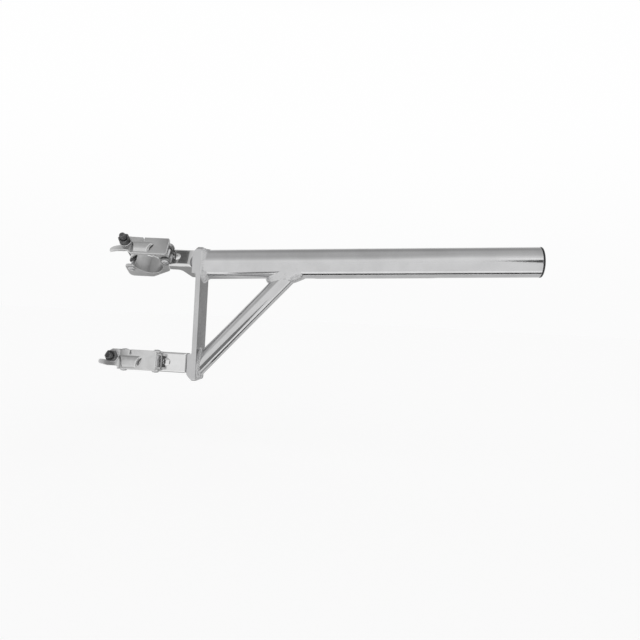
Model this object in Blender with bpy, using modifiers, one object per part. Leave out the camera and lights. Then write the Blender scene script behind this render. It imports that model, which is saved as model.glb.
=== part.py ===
"""Lighting pipe: a welded outrigger arm with two swivelling tube clamps.

Units are metres and +Z is up. The origin lies on the truss-side face of the
mounting bar, on its centre line and halfway between the two clamp pivots.
The pipe runs away from the truss along +X and rises a little. The clamps lie
on the -X side, each turning about its own pivot bolt, whose axis is along X.

Inside a clamp, reach is the distance from the mounting bar towards -X, front
is the distance towards -Y, and height is measured along the gripped tube.
"""

import math

import bmesh
import bpy
from mathutils import Matrix, Vector

# clearance between pieces that touch
GAP = 0.0003

# main pipe
PIPE_DIAMETER = 0.050
PIPE_WALL = 0.003
PIPE_LENGTH = 0.555
PIPE_RISE_DEG = 3.0
CAP_FLANGE = 0.003
CAP_PLUG_LENGTH = 0.016
CAP_PLUG_WALL = 0.002

# mounting bar
BAR_WIDTH = 0.050
BAR_THICKNESS = 0.008
BAR_HEIGHT = 0.224
BAR_CORNER = 0.005
PIVOT_FROM_END = 0.027
BAR_PAD = 0.007
PAD_ROUND = 0.003
TAPER_START = 0.002

# brace under the pipe
BRACE_DIAMETER = 0.030
BRACE_WALL = 0.0025
BRACE_BELOW_PIVOT = 0.002
BRACE_TO_PIPE_DEG = 45.0
WELD_LEG = 0.0065
HEAD_WELD_LEG = 0.005
WELD_OVERHANG = 0.0025

# the tube that each clamp grips, and where it lies
CHORD_DIAMETER = 0.050
JAW_CLEARANCE = 0.0005
CHORD_REACH = 0.084
CHORD_FRONT = 0.017

# pressed clamp pieces
JAW_WIDTH = 0.034
PLATE = 0.0035
BAND = 0.004
FRONT_PLATE = 0.0045
BRACKET_REACH = 0.048
BRACKET_BACK = 0.016
BRACKET_TIP_DEPTH = 0.014
BRACKET_NECK = 0.029
BRACKET_NECK_ROUND = 0.012
BRACKET_BEND = 0.007
BRACKET_HEEL = 0.0075
BRACKET_HEEL_ROUND = 0.004
EDGE_ROUND = 0.0015
TAIL_START = 0.022
EAR_RADIUS = 0.008
KNUCKLE_RADIUS = 0.007
KNUCKLE_SPACE = 0.0005
HINGE_FORWARD = 0.009
REAR_SKIRT = 0.0035
BELLY_DROP = 0.004
SHOULDER_DEPTH = 0.011
FLANGE_ROUND = 0.008
FLANGE_SMALL_ROUND = 0.006
LUG_BACK = 0.020
LUG_MARGIN = 0.010
SADDLE_STEP = 0.0005
REAR_SADDLE_DEG = (184.0, 322.0)
FRONT_SADDLE_DEG = (32.0, 148.0)
RIB_RADIUS = 0.0095
RIB_DROP = 0.004
RIB_PROUD = 0.005
RIB_RIGHT = 0.072
RIB_SPACE = 0.002

# face and fork of the front jaw
FACE_RIGHT = 0.003
FACE_ROUND = 0.003
CROWN_RISE = 0.0012
CROWN_MARGIN = 0.001
FORK_SIDE = 0.0007
FORK_CORNER = 0.0045
SHORT_PRONG = 0.013
SHORT_PRONG_TURN = 0.002
PRONG_ROUND = 0.006
TONGUE_LENGTH = 0.029
TONGUE_WIDTH = 0.010
TONGUE_TIP_RISE = 0.003
TONGUE_BELLY = 0.010
TONGUE_NECK = 0.006
TONGUE_SHOULDER = 0.012

# bolts, nuts, pins and rivets
PIVOT_BOLT_DIAMETER = 0.010
PIVOT_HEAD_DIAMETER = 0.020
COUNTERSINK_OVER = 0.001
T_BOLT_DIAMETER = 0.010
T_BOLT_HEIGHT = 0.004
T_BOLT_EYE_RADIUS = 0.0075
T_BOLT_EYE_WIDTH = 0.012
T_PIN_SETBACK = 0.015
BOLT_SIDE_GAP = 0.0015
PIN_DIAMETER = 0.008
PIN_HEAD_RADIUS = 0.006
PIN_HEAD = 0.002
HEAD_TOP_SHARE = 0.8
HEAD_SIDE_SHARE = 0.6
RIVET_DIAMETER = 0.008
RIVET_HEAD_RADIUS = 0.0065
RIVET_HEAD = 0.003
RIVET_REACH = 0.036
NUT_ACROSS_FLATS = 0.017
NUT_THICKNESS = 0.0085
WASHER_DIAMETER = 0.020
WASHER_THICKNESS = 0.002
THREAD_SPARE = 0.003
NUT_TRAVEL = 0.006

# how far each clamp is turned about its pivot bolt in the photograph
UPPER_TILT_DEG = 30.0
LOWER_TILT_DEG = 6.0

# how much farther than BRACKET_REACH each clamp's jaws stand from the bar
UPPER_EXTRA_REACH = 0.0
LOWER_EXTRA_REACH = 0.008

# roundness of the facets
FINE_SIDES = 48
BRACE_SIDES = 32
ROUND_SIDES = 24
ARC_STEPS = 16
LUG_STEPS = 10
SHARP_DEG = 35.0
MERGE_DISTANCE = 0.00001

# sizes that follow from the ones above
PIPE_RADIUS = PIPE_DIAMETER / 2
BRACE_RADIUS = BRACE_DIAMETER / 2
PIVOT_HEIGHT = BAR_HEIGHT / 2 - PIVOT_FROM_END
BRACE_DROP = PIVOT_HEIGHT * 2 + BRACE_BELOW_PIVOT
RISE = math.radians(PIPE_RISE_DEG)
PIPE_DIRECTION = Vector((math.cos(RISE), 0, math.sin(RISE)))
BRACE_TO_PIPE = math.radians(BRACE_TO_PIPE_DEG)
BRACE_ANGLE = RISE + BRACE_TO_PIPE
BRACE_DIRECTION = Vector((math.cos(BRACE_ANGLE), 0, math.sin(BRACE_ANGLE)))
PIPE_START = Vector((BAR_THICKNESS, 0, PIVOT_HEIGHT))
BRACE_FOOT = Vector((BAR_THICKNESS, 0, PIVOT_HEIGHT - BRACE_DROP))
BRACE_LENGTH = BRACE_DROP * math.cos(RISE) / math.sin(BRACE_TO_PIPE)
BRACE_FAR = BRACE_FOOT + BRACE_DIRECTION * BRACE_LENGTH
BRACE_NEAR = BRACE_FOOT - BRACE_DIRECTION * BRACE_DIAMETER

JAW_RADIUS = CHORD_DIAMETER / 2 + JAW_CLEARANCE
CHORD = (CHORD_REACH, CHORD_FRONT)
T_BOLT_REACH = CHORD_REACH + JAW_RADIUS + BOLT_SIDE_GAP + T_BOLT_DIAMETER / 2
T_PIN = (T_BOLT_REACH, CHORD_FRONT - T_PIN_SETBACK)
HINGE = (CHORD_REACH - JAW_RADIUS - KNUCKLE_RADIUS - KNUCKLE_SPACE,
         CHORD_FRONT + HINGE_FORWARD)
HALF_WIDTH = JAW_WIDTH / 2
INNER_HALF = HALF_WIDTH - PLATE
FRONT_INNER = CHORD_FRONT + JAW_RADIUS
FRONT_OUTER = FRONT_INNER + FRONT_PLATE
CROWN_RADIUS = FRONT_OUTER - T_PIN[1] + CROWN_RISE
WASHER_SEAT = CROWN_RADIUS + GAP
NUT_SEAT = WASHER_SEAT + WASHER_THICKNESS + GAP
T_BOLT_LENGTH = NUT_SEAT + NUT_THICKNESS + NUT_TRAVEL + THREAD_SPARE
WEB_FRONT = CHORD_FRONT + PLATE / 2
WEB_BACK = WEB_FRONT - PLATE
TAIL_FRONT = WEB_BACK - GAP
TAIL_BACK = TAIL_FRONT - PLATE
BRACKET_BASE = BAR_PAD + GAP

# turns an outline in X and Y to face the front
FRONT_PLANE = Matrix(((1, 0, 0, 0), (0, 0, -1, 0), (0, 1, 0, 0), (0, 0, 0, 1)))

METAL = (0.62, 0.63, 0.64)
ZINC = (0.55, 0.56, 0.57)
DARK_STEEL = (0.12, 0.12, 0.125)
BLACK_PLASTIC = (0.02, 0.02, 0.021)
WELD_METAL = (0.70, 0.71, 0.72)


def clear_scene():
    """Removes what the scene holds before the model is made."""
    for item in list(bpy.data.objects):
        bpy.data.objects.remove(item, do_unlink=True)


def new_collection(name, hidden=False):
    """Makes a collection in the scene."""
    group = bpy.data.collections.new(name)
    group.hide_render = hidden
    bpy.context.scene.collection.children.link(group)
    return group


def principled(name, colour, roughness, metallic):
    """Makes a plain Principled material."""
    material = bpy.data.materials.new(name)
    material.use_nodes = True
    shader = material.node_tree.nodes["Principled BSDF"]
    shader.inputs["Base Color"].default_value = (*colour, 1.0)
    shader.inputs["Roughness"].default_value = roughness
    shader.inputs["Metallic"].default_value = metallic
    material.diffuse_color = (*colour, 1.0)
    return material


def mesh_object(name, mesh):
    """Wraps a mesh in an object that is linked nowhere yet."""
    return bpy.data.objects.new(name, mesh)


def box(name, low, high):
    """A box between two corners."""
    low = Vector(low)
    high = Vector(high)
    shape = bmesh.new()
    bmesh.ops.create_cube(shape, size=1.0)
    size = high - low
    bmesh.ops.transform(shape, matrix=Matrix.Diagonal((*size, 1.0)), verts=shape.verts)
    bmesh.ops.translate(shape, vec=(low + high) / 2, verts=shape.verts)
    mesh = bpy.data.meshes.new(name)
    shape.to_mesh(mesh)
    shape.free()
    return mesh_object(name, mesh)


def cylinder(name, start, end, radius, sides=ROUND_SIDES, end_radius=None, turn=0.0):
    """A cylinder or cone between two points."""
    start = Vector(start)
    end = Vector(end)
    along = end - start
    shape = bmesh.new()
    bmesh.ops.create_cone(shape, cap_ends=True, segments=sides, radius1=radius,
                          radius2=radius if end_radius is None else end_radius,
                          depth=along.length)
    aim = along.to_track_quat("Z", "Y").to_matrix().to_4x4()
    place = Matrix.Translation((start + end) / 2) @ aim @ Matrix.Rotation(turn, 4, "Z")
    bmesh.ops.transform(shape, matrix=place, verts=shape.verts)
    mesh = bpy.data.meshes.new(name)
    shape.to_mesh(mesh)
    shape.free()
    return mesh_object(name, mesh)


def flat_solid(name, points, low, high, matrix=Matrix.Identity(4)):
    """An outline in X and Y, filled and extruded from low to high along Z."""
    curve = bpy.data.curves.new(name, "CURVE")
    curve.dimensions = "2D"
    curve.fill_mode = "BOTH"
    curve.extrude = (high - low) / 2
    spline = curve.splines.new("POLY")
    spline.points.add(len(points) - 1)
    for point, (x, y) in zip(spline.points, points):
        point.co = (x, y, 0, 1)
    spline.use_cyclic_u = True
    drawn = bpy.data.objects.new(name, curve)
    bpy.context.scene.collection.objects.link(drawn)
    graph = bpy.context.evaluated_depsgraph_get()
    mesh = bpy.data.meshes.new_from_object(drawn.evaluated_get(graph))
    bpy.data.objects.remove(drawn, do_unlink=True)
    bpy.data.curves.remove(curve)
    shape = bmesh.new()
    shape.from_mesh(mesh)
    bmesh.ops.remove_doubles(shape, verts=shape.verts, dist=MERGE_DISTANCE)
    bmesh.ops.translate(shape, vec=(0, 0, (low + high) / 2), verts=shape.verts)
    bmesh.ops.transform(shape, matrix=matrix, verts=shape.verts)
    bmesh.ops.recalc_face_normals(shape, faces=shape.faces)
    shape.to_mesh(mesh)
    shape.free()
    return mesh_object(name, mesh)


def turned_solid(name, profile, base, direction, sides=ROUND_SIDES):
    """A turned piece: profile lists (radius, distance) from its far end to its base."""
    mesh = bpy.data.meshes.new(name)
    points = [(radius, 0.0, distance) for radius, distance in profile]
    mesh.from_pydata(points, [(i, i + 1) for i in range(len(points) - 1)], [])
    piece = mesh_object(name, mesh)
    screw = piece.modifiers.new("turn", "SCREW")
    screw.steps = sides
    screw.render_steps = sides
    screw.use_merge_vertices = True
    screw.merge_threshold = MERGE_DISTANCE
    screw.use_smooth_shade = False
    bpy.context.scene.collection.objects.link(piece)
    graph = bpy.context.evaluated_depsgraph_get()
    solid = bpy.data.meshes.new_from_object(piece.evaluated_get(graph))
    bpy.data.objects.remove(piece, do_unlink=True)
    aim = Vector(direction).to_track_quat("Z", "Y").to_matrix().to_4x4()
    solid.transform(Matrix.Translation(base) @ aim)
    solid.name = name
    return mesh_object(name, solid)


def arc(centre, radius, start_deg, end_deg, steps):
    """Points on an arc, with angles counted from +X towards +Y."""
    points = []
    for step in range(steps + 1):
        angle = math.radians(start_deg + (end_deg - start_deg) * step / steps)
        points.append((centre[0] + radius * math.cos(angle),
                       centre[1] + radius * math.sin(angle)))
    return points


def rounded(corners, steps=3):
    """An outline whose corners (x, y, radius) are rounded by arcs."""
    points = []
    count = len(corners)
    for index, (x, y, radius) in enumerate(corners):
        here = Vector((x, y))
        if radius <= 0:
            points.append((x, y))
            continue
        before = (Vector(corners[index - 1][:2]) - here).normalized()
        after = (Vector(corners[(index + 1) % count][:2]) - here).normalized()
        half = before.angle(after) / 2
        centre = here + (before + after).normalized() * radius / math.sin(half)
        start = here + before * radius / math.tan(half) - centre
        sweep = start.angle_signed(here + after * radius / math.tan(half) - centre)
        for step in range(steps + 1):
            turn = Matrix.Rotation(-sweep * step / steps, 2)
            spot = centre + turn @ start
            points.append((spot.x, spot.y))
    return points


class Builder:
    """Puts pieces and their cutters in their collections under one parent."""

    def __init__(self, parts, cutters, parent=None, prefix=""):
        self.parts = parts
        self.cutters = cutters
        self.parent = parent
        self.prefix = prefix

    def piece(self, name, solid, material, origin=(0, 0, 0)):
        """Makes a solid a named piece whose origin is at the given place."""
        solid.name = self.prefix + name
        solid.data.name = self.prefix + name
        solid.data.transform(Matrix.Translation(-Vector(origin)))
        solid.location = origin
        solid.parent = self.parent
        solid.data.materials.clear()
        solid.data.materials.append(material)
        self.parts.objects.link(solid)
        return solid

    def combine(self, piece, operand, operation):
        """Joins, cuts or trims a piece with another solid."""
        operand.name = piece.name + "_" + operation.lower()
        operand.parent = self.parent
        operand.hide_render = True
        operand.display_type = "WIRE"
        self.cutters.objects.link(operand)
        step = piece.modifiers.new(operation.lower(), "BOOLEAN")
        step.operation = operation
        step.solver = "EXACT"
        step.object = operand

    def add(self, piece, operand):
        self.combine(piece, operand, "UNION")

    def cut(self, piece, operand):
        self.combine(piece, operand, "DIFFERENCE")

    def trim(self, piece, operand):
        self.combine(piece, operand, "INTERSECT")


def spot(reach, front, height=0.0):
    """A place in a clamp as local coordinates."""
    return Vector((-reach, -front, height))


def plan(points):
    """Outline points (reach, front) as X and Y."""
    return [(-reach, -front) for reach, front in points]


def upright(name, centre, radius, low, high, sides=ROUND_SIDES):
    """A cylinder along the gripped tube, at (reach, front)."""
    return cylinder(name, spot(*centre, low), spot(*centre, high), radius, sides)


def block(name, reach, front, height):
    """A box in a clamp, from three (low, high) pairs."""
    return box(name, (-reach[1], -front[1], height[0]), (-reach[0], -front[0], height[1]))


def build_arm(make, materials):
    """The welded arm: bar, pipe, brace, their welds and the pipe's end cap."""
    half = BAR_WIDTH / 2
    tall = BAR_HEIGHT / 2
    outline = rounded([(-half, -tall, BAR_CORNER), (half, -tall, BAR_CORNER),
                       (half, tall, BAR_CORNER), (-half, tall, BAR_CORNER)])
    upright_plane = Matrix(((0, 0, 1, 0), (1, 0, 0, 0), (0, 1, 0, 0), (0, 0, 0, 1)))
    bar = make.piece("mounting_bar", flat_solid("bar", outline, -BAR_PAD - GAP, BAR_THICKNESS,
                                                upright_plane), materials["metal"])
    make.trim(bar, flat_solid("side", bar_side(tall), -half - GAP, half + GAP, FRONT_PLANE))
    for height in (PIVOT_HEIGHT, -PIVOT_HEIGHT):
        make.cut(bar, pivot_bolt_solid("hole", height, GAP))

    pipe_end = PIPE_START + PIPE_DIRECTION * PIPE_LENGTH
    behind = PIPE_START - PIPE_DIRECTION * PIPE_RADIUS
    bore_start = behind - PIPE_DIRECTION * GAP
    bore_end = pipe_end + PIPE_DIRECTION * GAP
    pipe = make.piece("main_pipe", cylinder("pipe", behind, pipe_end, PIPE_RADIUS, FINE_SIDES),
                      materials["metal"])
    make.cut(pipe, cylinder("bore", bore_start, bore_end, PIPE_RADIUS - PIPE_WALL, FINE_SIDES))
    make.cut(pipe, bar_envelope("bar_side", GAP))

    bore = PIPE_RADIUS - PIPE_WALL - GAP
    plug_start = pipe_end - PIPE_DIRECTION * CAP_PLUG_LENGTH
    hollow_start = plug_start - PIPE_DIRECTION * GAP
    cap_seat = pipe_end + PIPE_DIRECTION * GAP
    cap_end = cap_seat + PIPE_DIRECTION * CAP_FLANGE
    cap = make.piece("pipe_end_cap", cylinder("cap", cap_seat, cap_end, PIPE_RADIUS, FINE_SIDES),
                     materials["plastic"])
    make.add(cap, cylinder("plug", plug_start, cap_end, bore, FINE_SIDES))
    make.cut(cap, cylinder("hollow", hollow_start, cap_seat, bore - CAP_PLUG_WALL, FINE_SIDES))

    brace = make.piece("brace_tube", brace_solid("brace", BRACE_RADIUS), materials["metal"])
    make.cut(brace, brace_solid("bore", BRACE_RADIUS - BRACE_WALL, BRACE_RADIUS))
    make.cut(brace, pipe_envelope("cope", GAP))
    make.cut(brace, bar_envelope("foot", GAP))


def bar_side(tall):
    """The bar from its edge: a pad under each clamp and tapered ends, a little oversize."""
    back = BAR_THICKNESS + GAP
    end = tall + GAP
    pad_high = PIVOT_HEIGHT + HALF_WIDTH
    pad_low = PIVOT_HEIGHT - HALF_WIDTH
    return rounded([(back, -end, 0), (back, end, 0), (TAPER_START, end, 0),
                    (-BAR_PAD, pad_high, PAD_ROUND), (-BAR_PAD, pad_low, 0),
                    (0, pad_low, PAD_ROUND), (0, -pad_low, PAD_ROUND), (-BAR_PAD, -pad_low, 0),
                    (-BAR_PAD, -pad_high, PAD_ROUND), (TAPER_START, -end, 0)])


def build_welds(make, materials):
    """The weld beads round the pipe, the brace's foot and the brace's head."""
    slant = PIPE_RADIUS * math.tan(RISE) + GAP
    toe = PIPE_START + PIPE_DIRECTION * (WELD_LEG + slant)
    weld = make.piece("pipe_weld", cylinder("weld", PIPE_START - PIPE_DIRECTION * slant, toe,
                                            PIPE_RADIUS + WELD_LEG, FINE_SIDES,
                                            end_radius=PIPE_RADIUS + GAP * 3), materials["weld"])
    side = BAR_WIDTH / 2 + WELD_OVERHANG
    end = BAR_HEIGHT / 2
    make.trim(weld, box("sides", (-BAR_HEIGHT, -side, -end), (BAR_HEIGHT, side, end)))
    make.cut(weld, pipe_envelope("pipe_inside", GAP))
    make.cut(weld, bar_envelope("bar_inside", GAP))

    foot = make.piece("brace_foot_weld", brace_solid("foot_weld", BRACE_RADIUS + WELD_LEG),
                      materials["weld"])
    make.trim(foot, bar_envelope("leg", WELD_LEG, BAR_HEIGHT / 2))
    make.cut(foot, brace_solid("brace_inside", BRACE_RADIUS + GAP, BRACE_RADIUS))
    make.cut(foot, bar_envelope("bar_inside", GAP))

    head = make.piece("brace_head_weld", brace_solid("head_weld", BRACE_RADIUS + HEAD_WELD_LEG),
                      materials["weld"])
    make.trim(head, pipe_envelope("leg", HEAD_WELD_LEG))
    make.cut(head, pipe_envelope("pipe_inside", GAP))
    make.cut(head, brace_solid("brace_inside", BRACE_RADIUS + GAP, BRACE_RADIUS))


def brace_solid(name, radius, over=0.0):
    """A cylinder on the brace's axis, longer at both ends by the given length."""
    return cylinder(name, BRACE_NEAR - BRACE_DIRECTION * over, BRACE_FAR + BRACE_DIRECTION * over,
                    radius, BRACE_SIDES)


def pipe_envelope(name, margin):
    """The pipe's outside, enlarged by a margin and longer at both ends."""
    return cylinder(name, PIPE_START - PIPE_DIRECTION * PIPE_DIAMETER,
                    PIPE_START + PIPE_DIRECTION * (PIPE_LENGTH + PIPE_DIAMETER),
                    PIPE_RADIUS + margin, FINE_SIDES)


def bar_envelope(name, margin, tall=BAR_HEIGHT):
    """Everything on the truss side of the bar's pipe-side face, up to a height."""
    return box(name, (-BAR_WIDTH * 2, -BAR_WIDTH, -tall),
               (BAR_THICKNESS + margin, BAR_WIDTH, tall))


def pivot_bolt_solid(name, height, margin):
    """A countersunk bolt through the bar, or its hole when a margin is given."""
    shank = PIVOT_BOLT_DIAMETER / 2 + margin
    head = PIVOT_HEAD_DIAMETER / 2 + margin
    cone = (PIVOT_HEAD_DIAMETER - PIVOT_BOLT_DIAMETER) / 2
    length = BRACKET_BASE + PLATE + WASHER_THICKNESS + NUT_THICKNESS + THREAD_SPARE + GAP * 2
    profile = [(head, BAR_THICKNESS), (shank, BAR_THICKNESS - cone), (shank, -length), (0, -length)]
    if margin:
        over = BAR_THICKNESS + COUNTERSINK_OVER
        profile = [(0, over), (head, over)] + profile
    else:
        profile = [(0, BAR_THICKNESS)] + profile
    return turned_solid(name, profile, (0, 0, height), (1, 0, 0))


def hex_nut(name, base, direction, turn=0.0):
    """A hexagonal nut standing on its base point, without its hole."""
    base = Vector(base)
    direction = Vector(direction)
    corner = NUT_ACROSS_FLATS / 2 / math.cos(math.pi / 6)
    return cylinder(name, base, base + direction * NUT_THICKNESS, corner, 6, turn=turn)


def ring(make, name, base, direction, radius, thickness, hole, material, origin=(0, 0, 0)):
    """A washer."""
    base = Vector(base)
    direction = Vector(direction)
    disc = make.piece(name, cylinder(name, base, base + direction * thickness, radius),
                      material, origin)
    make.cut(disc, cylinder("hole", base - direction * GAP, base + direction * (thickness + GAP),
                            hole))
    return disc


def double_headed(name, centre_line, low, high, radius):
    """A pin along the gripped tube, with a chamfered head at each end."""
    top = PIN_HEAD_RADIUS * HEAD_TOP_SHARE
    side = PIN_HEAD * HEAD_SIDE_SHARE
    upper = [(0, high + PIN_HEAD), (top, high + PIN_HEAD), (PIN_HEAD_RADIUS, high + side),
             (PIN_HEAD_RADIUS, high), (radius, high)]
    lower = [(radius, low), (PIN_HEAD_RADIUS, low), (PIN_HEAD_RADIUS, low - side),
             (top, low - PIN_HEAD), (0, low - PIN_HEAD)]
    return turned_solid(name, upper + lower, spot(*centre_line), (0, 0, 1))


def build_pivot(make, materials):
    """The swivel: pivot bolt, washer and nut, which stay with the arm."""
    direction = (-1, 0, 0)
    hole = PIVOT_BOLT_DIAMETER / 2 + GAP
    make.piece("pivot_bolt", pivot_bolt_solid("pivot_bolt", 0, 0), materials["zinc"])
    seat = BRACKET_BASE + PLATE + GAP
    ring(make, "pivot_washer", (-seat, 0, 0), direction, WASHER_DIAMETER / 2, WASHER_THICKNESS,
         hole, materials["zinc"])
    nut_base = (-(seat + WASHER_THICKNESS + GAP), 0, 0)
    nut = make.piece("pivot_nut", hex_nut("nut", nut_base, direction), materials["zinc"])
    make.cut(nut, cylinder("thread", (0, 0, 0), (-BRACKET_REACH, 0, 0), hole))


def build_bracket(make, materials, extra):
    """The swivel bracket: base on the bar's pad, web to the jaws, and two tapering flanges."""
    tip_back = WEB_FRONT - BRACKET_TIP_DEPTH
    reach = BRACKET_REACH + extra
    outline = rounded([(BRACKET_BASE, -BRACKET_BACK, EDGE_ROUND),
                       (BRACKET_BASE, WEB_FRONT, BRACKET_BEND),
                       (reach, WEB_FRONT, EDGE_ROUND), (reach, tip_back, EDGE_ROUND),
                       (BRACKET_NECK + extra, tip_back, BRACKET_NECK_ROUND),
                       (BRACKET_BASE + BRACKET_HEEL, -BRACKET_BACK, BRACKET_HEEL_ROUND)])
    bracket = make.piece("swivel_bracket", flat_solid("bracket", plan(outline), -HALF_WIDTH,
                                                      HALF_WIDTH), materials["zinc"])
    make.cut(bracket, block("pocket", (BRACKET_BASE + PLATE, reach + GAP),
                            (-BRACKET_BACK - GAP, WEB_BACK), (-INNER_HALF, INNER_HALF)))
    make.cut(bracket, cylinder("pivot_hole", (0, 0, 0), spot(BRACKET_BASE + PLATE * 2, 0),
                               PIVOT_BOLT_DIAMETER / 2 + GAP))
    rivet = RIVET_REACH + extra
    make.cut(bracket, cylinder("rivet_hole", spot(rivet, WEB_BACK - GAP),
                               spot(rivet, WEB_FRONT + GAP), RIVET_DIAMETER / 2 + GAP))


def build_rear_jaw(make, materials):
    """The rear jaw: a tail on the bracket, a saddle, hinge ears and bolt lugs."""
    lug_reach = T_BOLT_REACH + LUG_MARGIN
    lug_front = T_PIN[1] + LUG_MARGIN
    belly = CHORD_FRONT - JAW_RADIUS - BAND - REAR_SKIRT - BELLY_DROP
    ear_right = HINGE[0] - EAR_RADIUS
    ear_left = HINGE[0] + EAR_RADIUS
    ear_top = HINGE[1] + EAR_RADIUS
    ear_round = EAR_RADIUS - MERGE_DISTANCE * 10
    ear_foot = WEB_FRONT + GAP
    edge = BRACKET_REACH + GAP * 3
    outline = rounded([(lug_reach, lug_front, FLANGE_SMALL_ROUND),
                       (lug_reach, -LUG_BACK, FLANGE_ROUND),
                       (CHORD_REACH, belly, FLANGE_ROUND),
                       (edge, TAIL_BACK - SHOULDER_DEPTH, FLANGE_SMALL_ROUND),
                       (edge, ear_foot, 0), (ear_right, ear_foot, EDGE_ROUND),
                       (ear_right, ear_top, ear_round), (ear_left, ear_top, ear_round),
                       (ear_left, HINGE[1], 0), (CHORD_REACH, HINGE[1], 0),
                       (CHORD_REACH, lug_front, 0)])
    jaw = make.piece("rear_jaw", flat_solid("flange", plan(outline), -HALF_WIDTH, HALF_WIDTH),
                     materials["zinc"])
    # the space between the two side flanges, which keeps the saddle band and the tail
    make.cut(jaw, block("between", (0, lug_reach + GAP), (-LUG_BACK * 2, HINGE[1] * 2),
                        (-INNER_HALF, INNER_HALF)))
    make.add(jaw, flat_solid("saddle", plan(ring_sector(CHORD, *REAR_SADDLE_DEG)),
                             -HALF_WIDTH + SADDLE_STEP, HALF_WIDTH - SADDLE_STEP))
    tail_end = CHORD_REACH - JAW_RADIUS - BAND / 2
    make.add(jaw, block("tail", (TAIL_START, tail_end), (TAIL_BACK, TAIL_FRONT),
                        (-INNER_HALF + GAP, INNER_HALF - GAP)))
    make.add(jaw, block("shoulder", (edge, tail_end), (TAIL_BACK, TAIL_FRONT),
                        (-HALF_WIDTH, HALF_WIDTH)))
    make.cut(jaw, upright("tube", CHORD, JAW_RADIUS, -JAW_WIDTH, JAW_WIDTH, FINE_SIDES))
    for name, centre in (("hinge", HINGE), ("bolt_pin", T_PIN)):
        make.cut(jaw, upright(name, centre, PIN_DIAMETER / 2 + GAP, -JAW_WIDTH, JAW_WIDTH))
    make.cut(jaw, cylinder("rivet_hole", spot(RIVET_REACH, TAIL_BACK - GAP),
                           spot(RIVET_REACH, TAIL_FRONT + GAP), RIVET_DIAMETER / 2 + GAP))


def ring_sector(centre, start_deg, end_deg):
    """A saddle's section before the tube is cut from it.

    Angles are counted from greater reach towards the front.
    """
    return (arc(centre, JAW_RADIUS + BAND, start_deg, end_deg, ARC_STEPS)
            + arc(centre, JAW_RADIUS - SADDLE_STEP, end_deg, start_deg, ARC_STEPS))


def build_front_jaw(make, materials):
    """The front jaw: face plate with a pressed rib, crowned fork, saddle and hinge lugs."""
    right = HINGE[0] - FACE_RIGHT
    half = HALF_WIDTH - GAP * 2
    washer_edge = WASHER_DIAMETER / 2 + CROWN_MARGIN
    fork_start = math.degrees(math.acos(-washer_edge / CROWN_RADIUS))
    fork_end = math.degrees(math.acos(TONGUE_LENGTH / CROWN_RADIUS))
    outline = ([(right, FRONT_INNER), (right, FRONT_OUTER)]
               + arc(T_PIN, CROWN_RADIUS, fork_start, fork_end, ARC_STEPS)
               + arc(T_PIN, CROWN_RADIUS - FRONT_PLATE, fork_end, fork_start, ARC_STEPS))
    jaw = make.piece("front_jaw", flat_solid("face", plan(outline), -half, half),
                     materials["zinc"], spot(*HINGE))
    seen = [(-reach, height) for reach, height in face_outline(right, half)]
    make.trim(jaw, flat_solid("seen", seen, 0, CROWN_RADIUS * 2, FRONT_PLANE))
    make.add(jaw, flat_solid("saddle", plan(ring_sector(CHORD, *FRONT_SADDLE_DEG)),
                             -half + SADDLE_STEP, half - SADDLE_STEP))
    lug_out = INNER_HALF - GAP
    lug_in = lug_out - PLATE
    inside_face = FRONT_INNER + SADDLE_STEP * 2
    lug = (arc(HINGE, KNUCKLE_RADIUS, 180, 320, LUG_STEPS)
           + [(CHORD_REACH - JAW_RADIUS / 2, inside_face), (right + SADDLE_STEP * 2, inside_face)])
    for low, high in ((lug_in, lug_out), (-lug_out, -lug_in)):
        make.add(jaw, flat_solid("lug", plan(lug), low, high))
    rib_front = FRONT_OUTER + RIB_PROUD - RIB_RADIUS
    rib_left = T_BOLT_REACH - WASHER_DIAMETER / 2 - RIB_SPACE
    make.add(jaw, cylinder("rib", spot(RIB_RIGHT, rib_front, -RIB_DROP),
                           spot(rib_left, rib_front, -RIB_DROP), RIB_RADIUS))
    make.cut(jaw, upright("tube", CHORD, JAW_RADIUS, -JAW_WIDTH, JAW_WIDTH, FINE_SIDES))
    make.cut(jaw, upright("hinge", HINGE, PIN_DIAMETER / 2 + GAP, -JAW_WIDTH, JAW_WIDTH))


def face_outline(right, half):
    """The front jaw as seen from the front, as (reach, height): plate, fork and long tongue."""
    slot_half = T_BOLT_DIAMETER / 2 + FORK_SIDE
    slot_low = T_BOLT_HEIGHT - slot_half
    slot_high = T_BOLT_HEIGHT + slot_half
    slot_end = T_BOLT_REACH - slot_half
    tip = T_BOLT_REACH + TONGUE_LENGTH
    tongue_low = slot_low - TONGUE_WIDTH
    tip_round = TONGUE_TIP_RISE
    return rounded([(right, -half, FACE_ROUND), (right, half, FACE_ROUND),
                    (T_BOLT_REACH + SHORT_PRONG_TURN, half, PRONG_ROUND),
                    (T_BOLT_REACH + SHORT_PRONG, slot_high, SHORT_PRONG_TURN),
                    (slot_end, slot_high, FORK_CORNER), (slot_end, slot_low, FORK_CORNER),
                    (tip, slot_low, tip_round), (tip, tongue_low + TONGUE_TIP_RISE, tip_round),
                    (T_BOLT_REACH + TONGUE_BELLY, tongue_low, PRONG_ROUND),
                    (T_BOLT_REACH - TONGUE_NECK, tongue_low, FACE_ROUND),
                    (T_BOLT_REACH - TONGUE_SHOULDER, -half, FACE_ROUND)])


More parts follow.
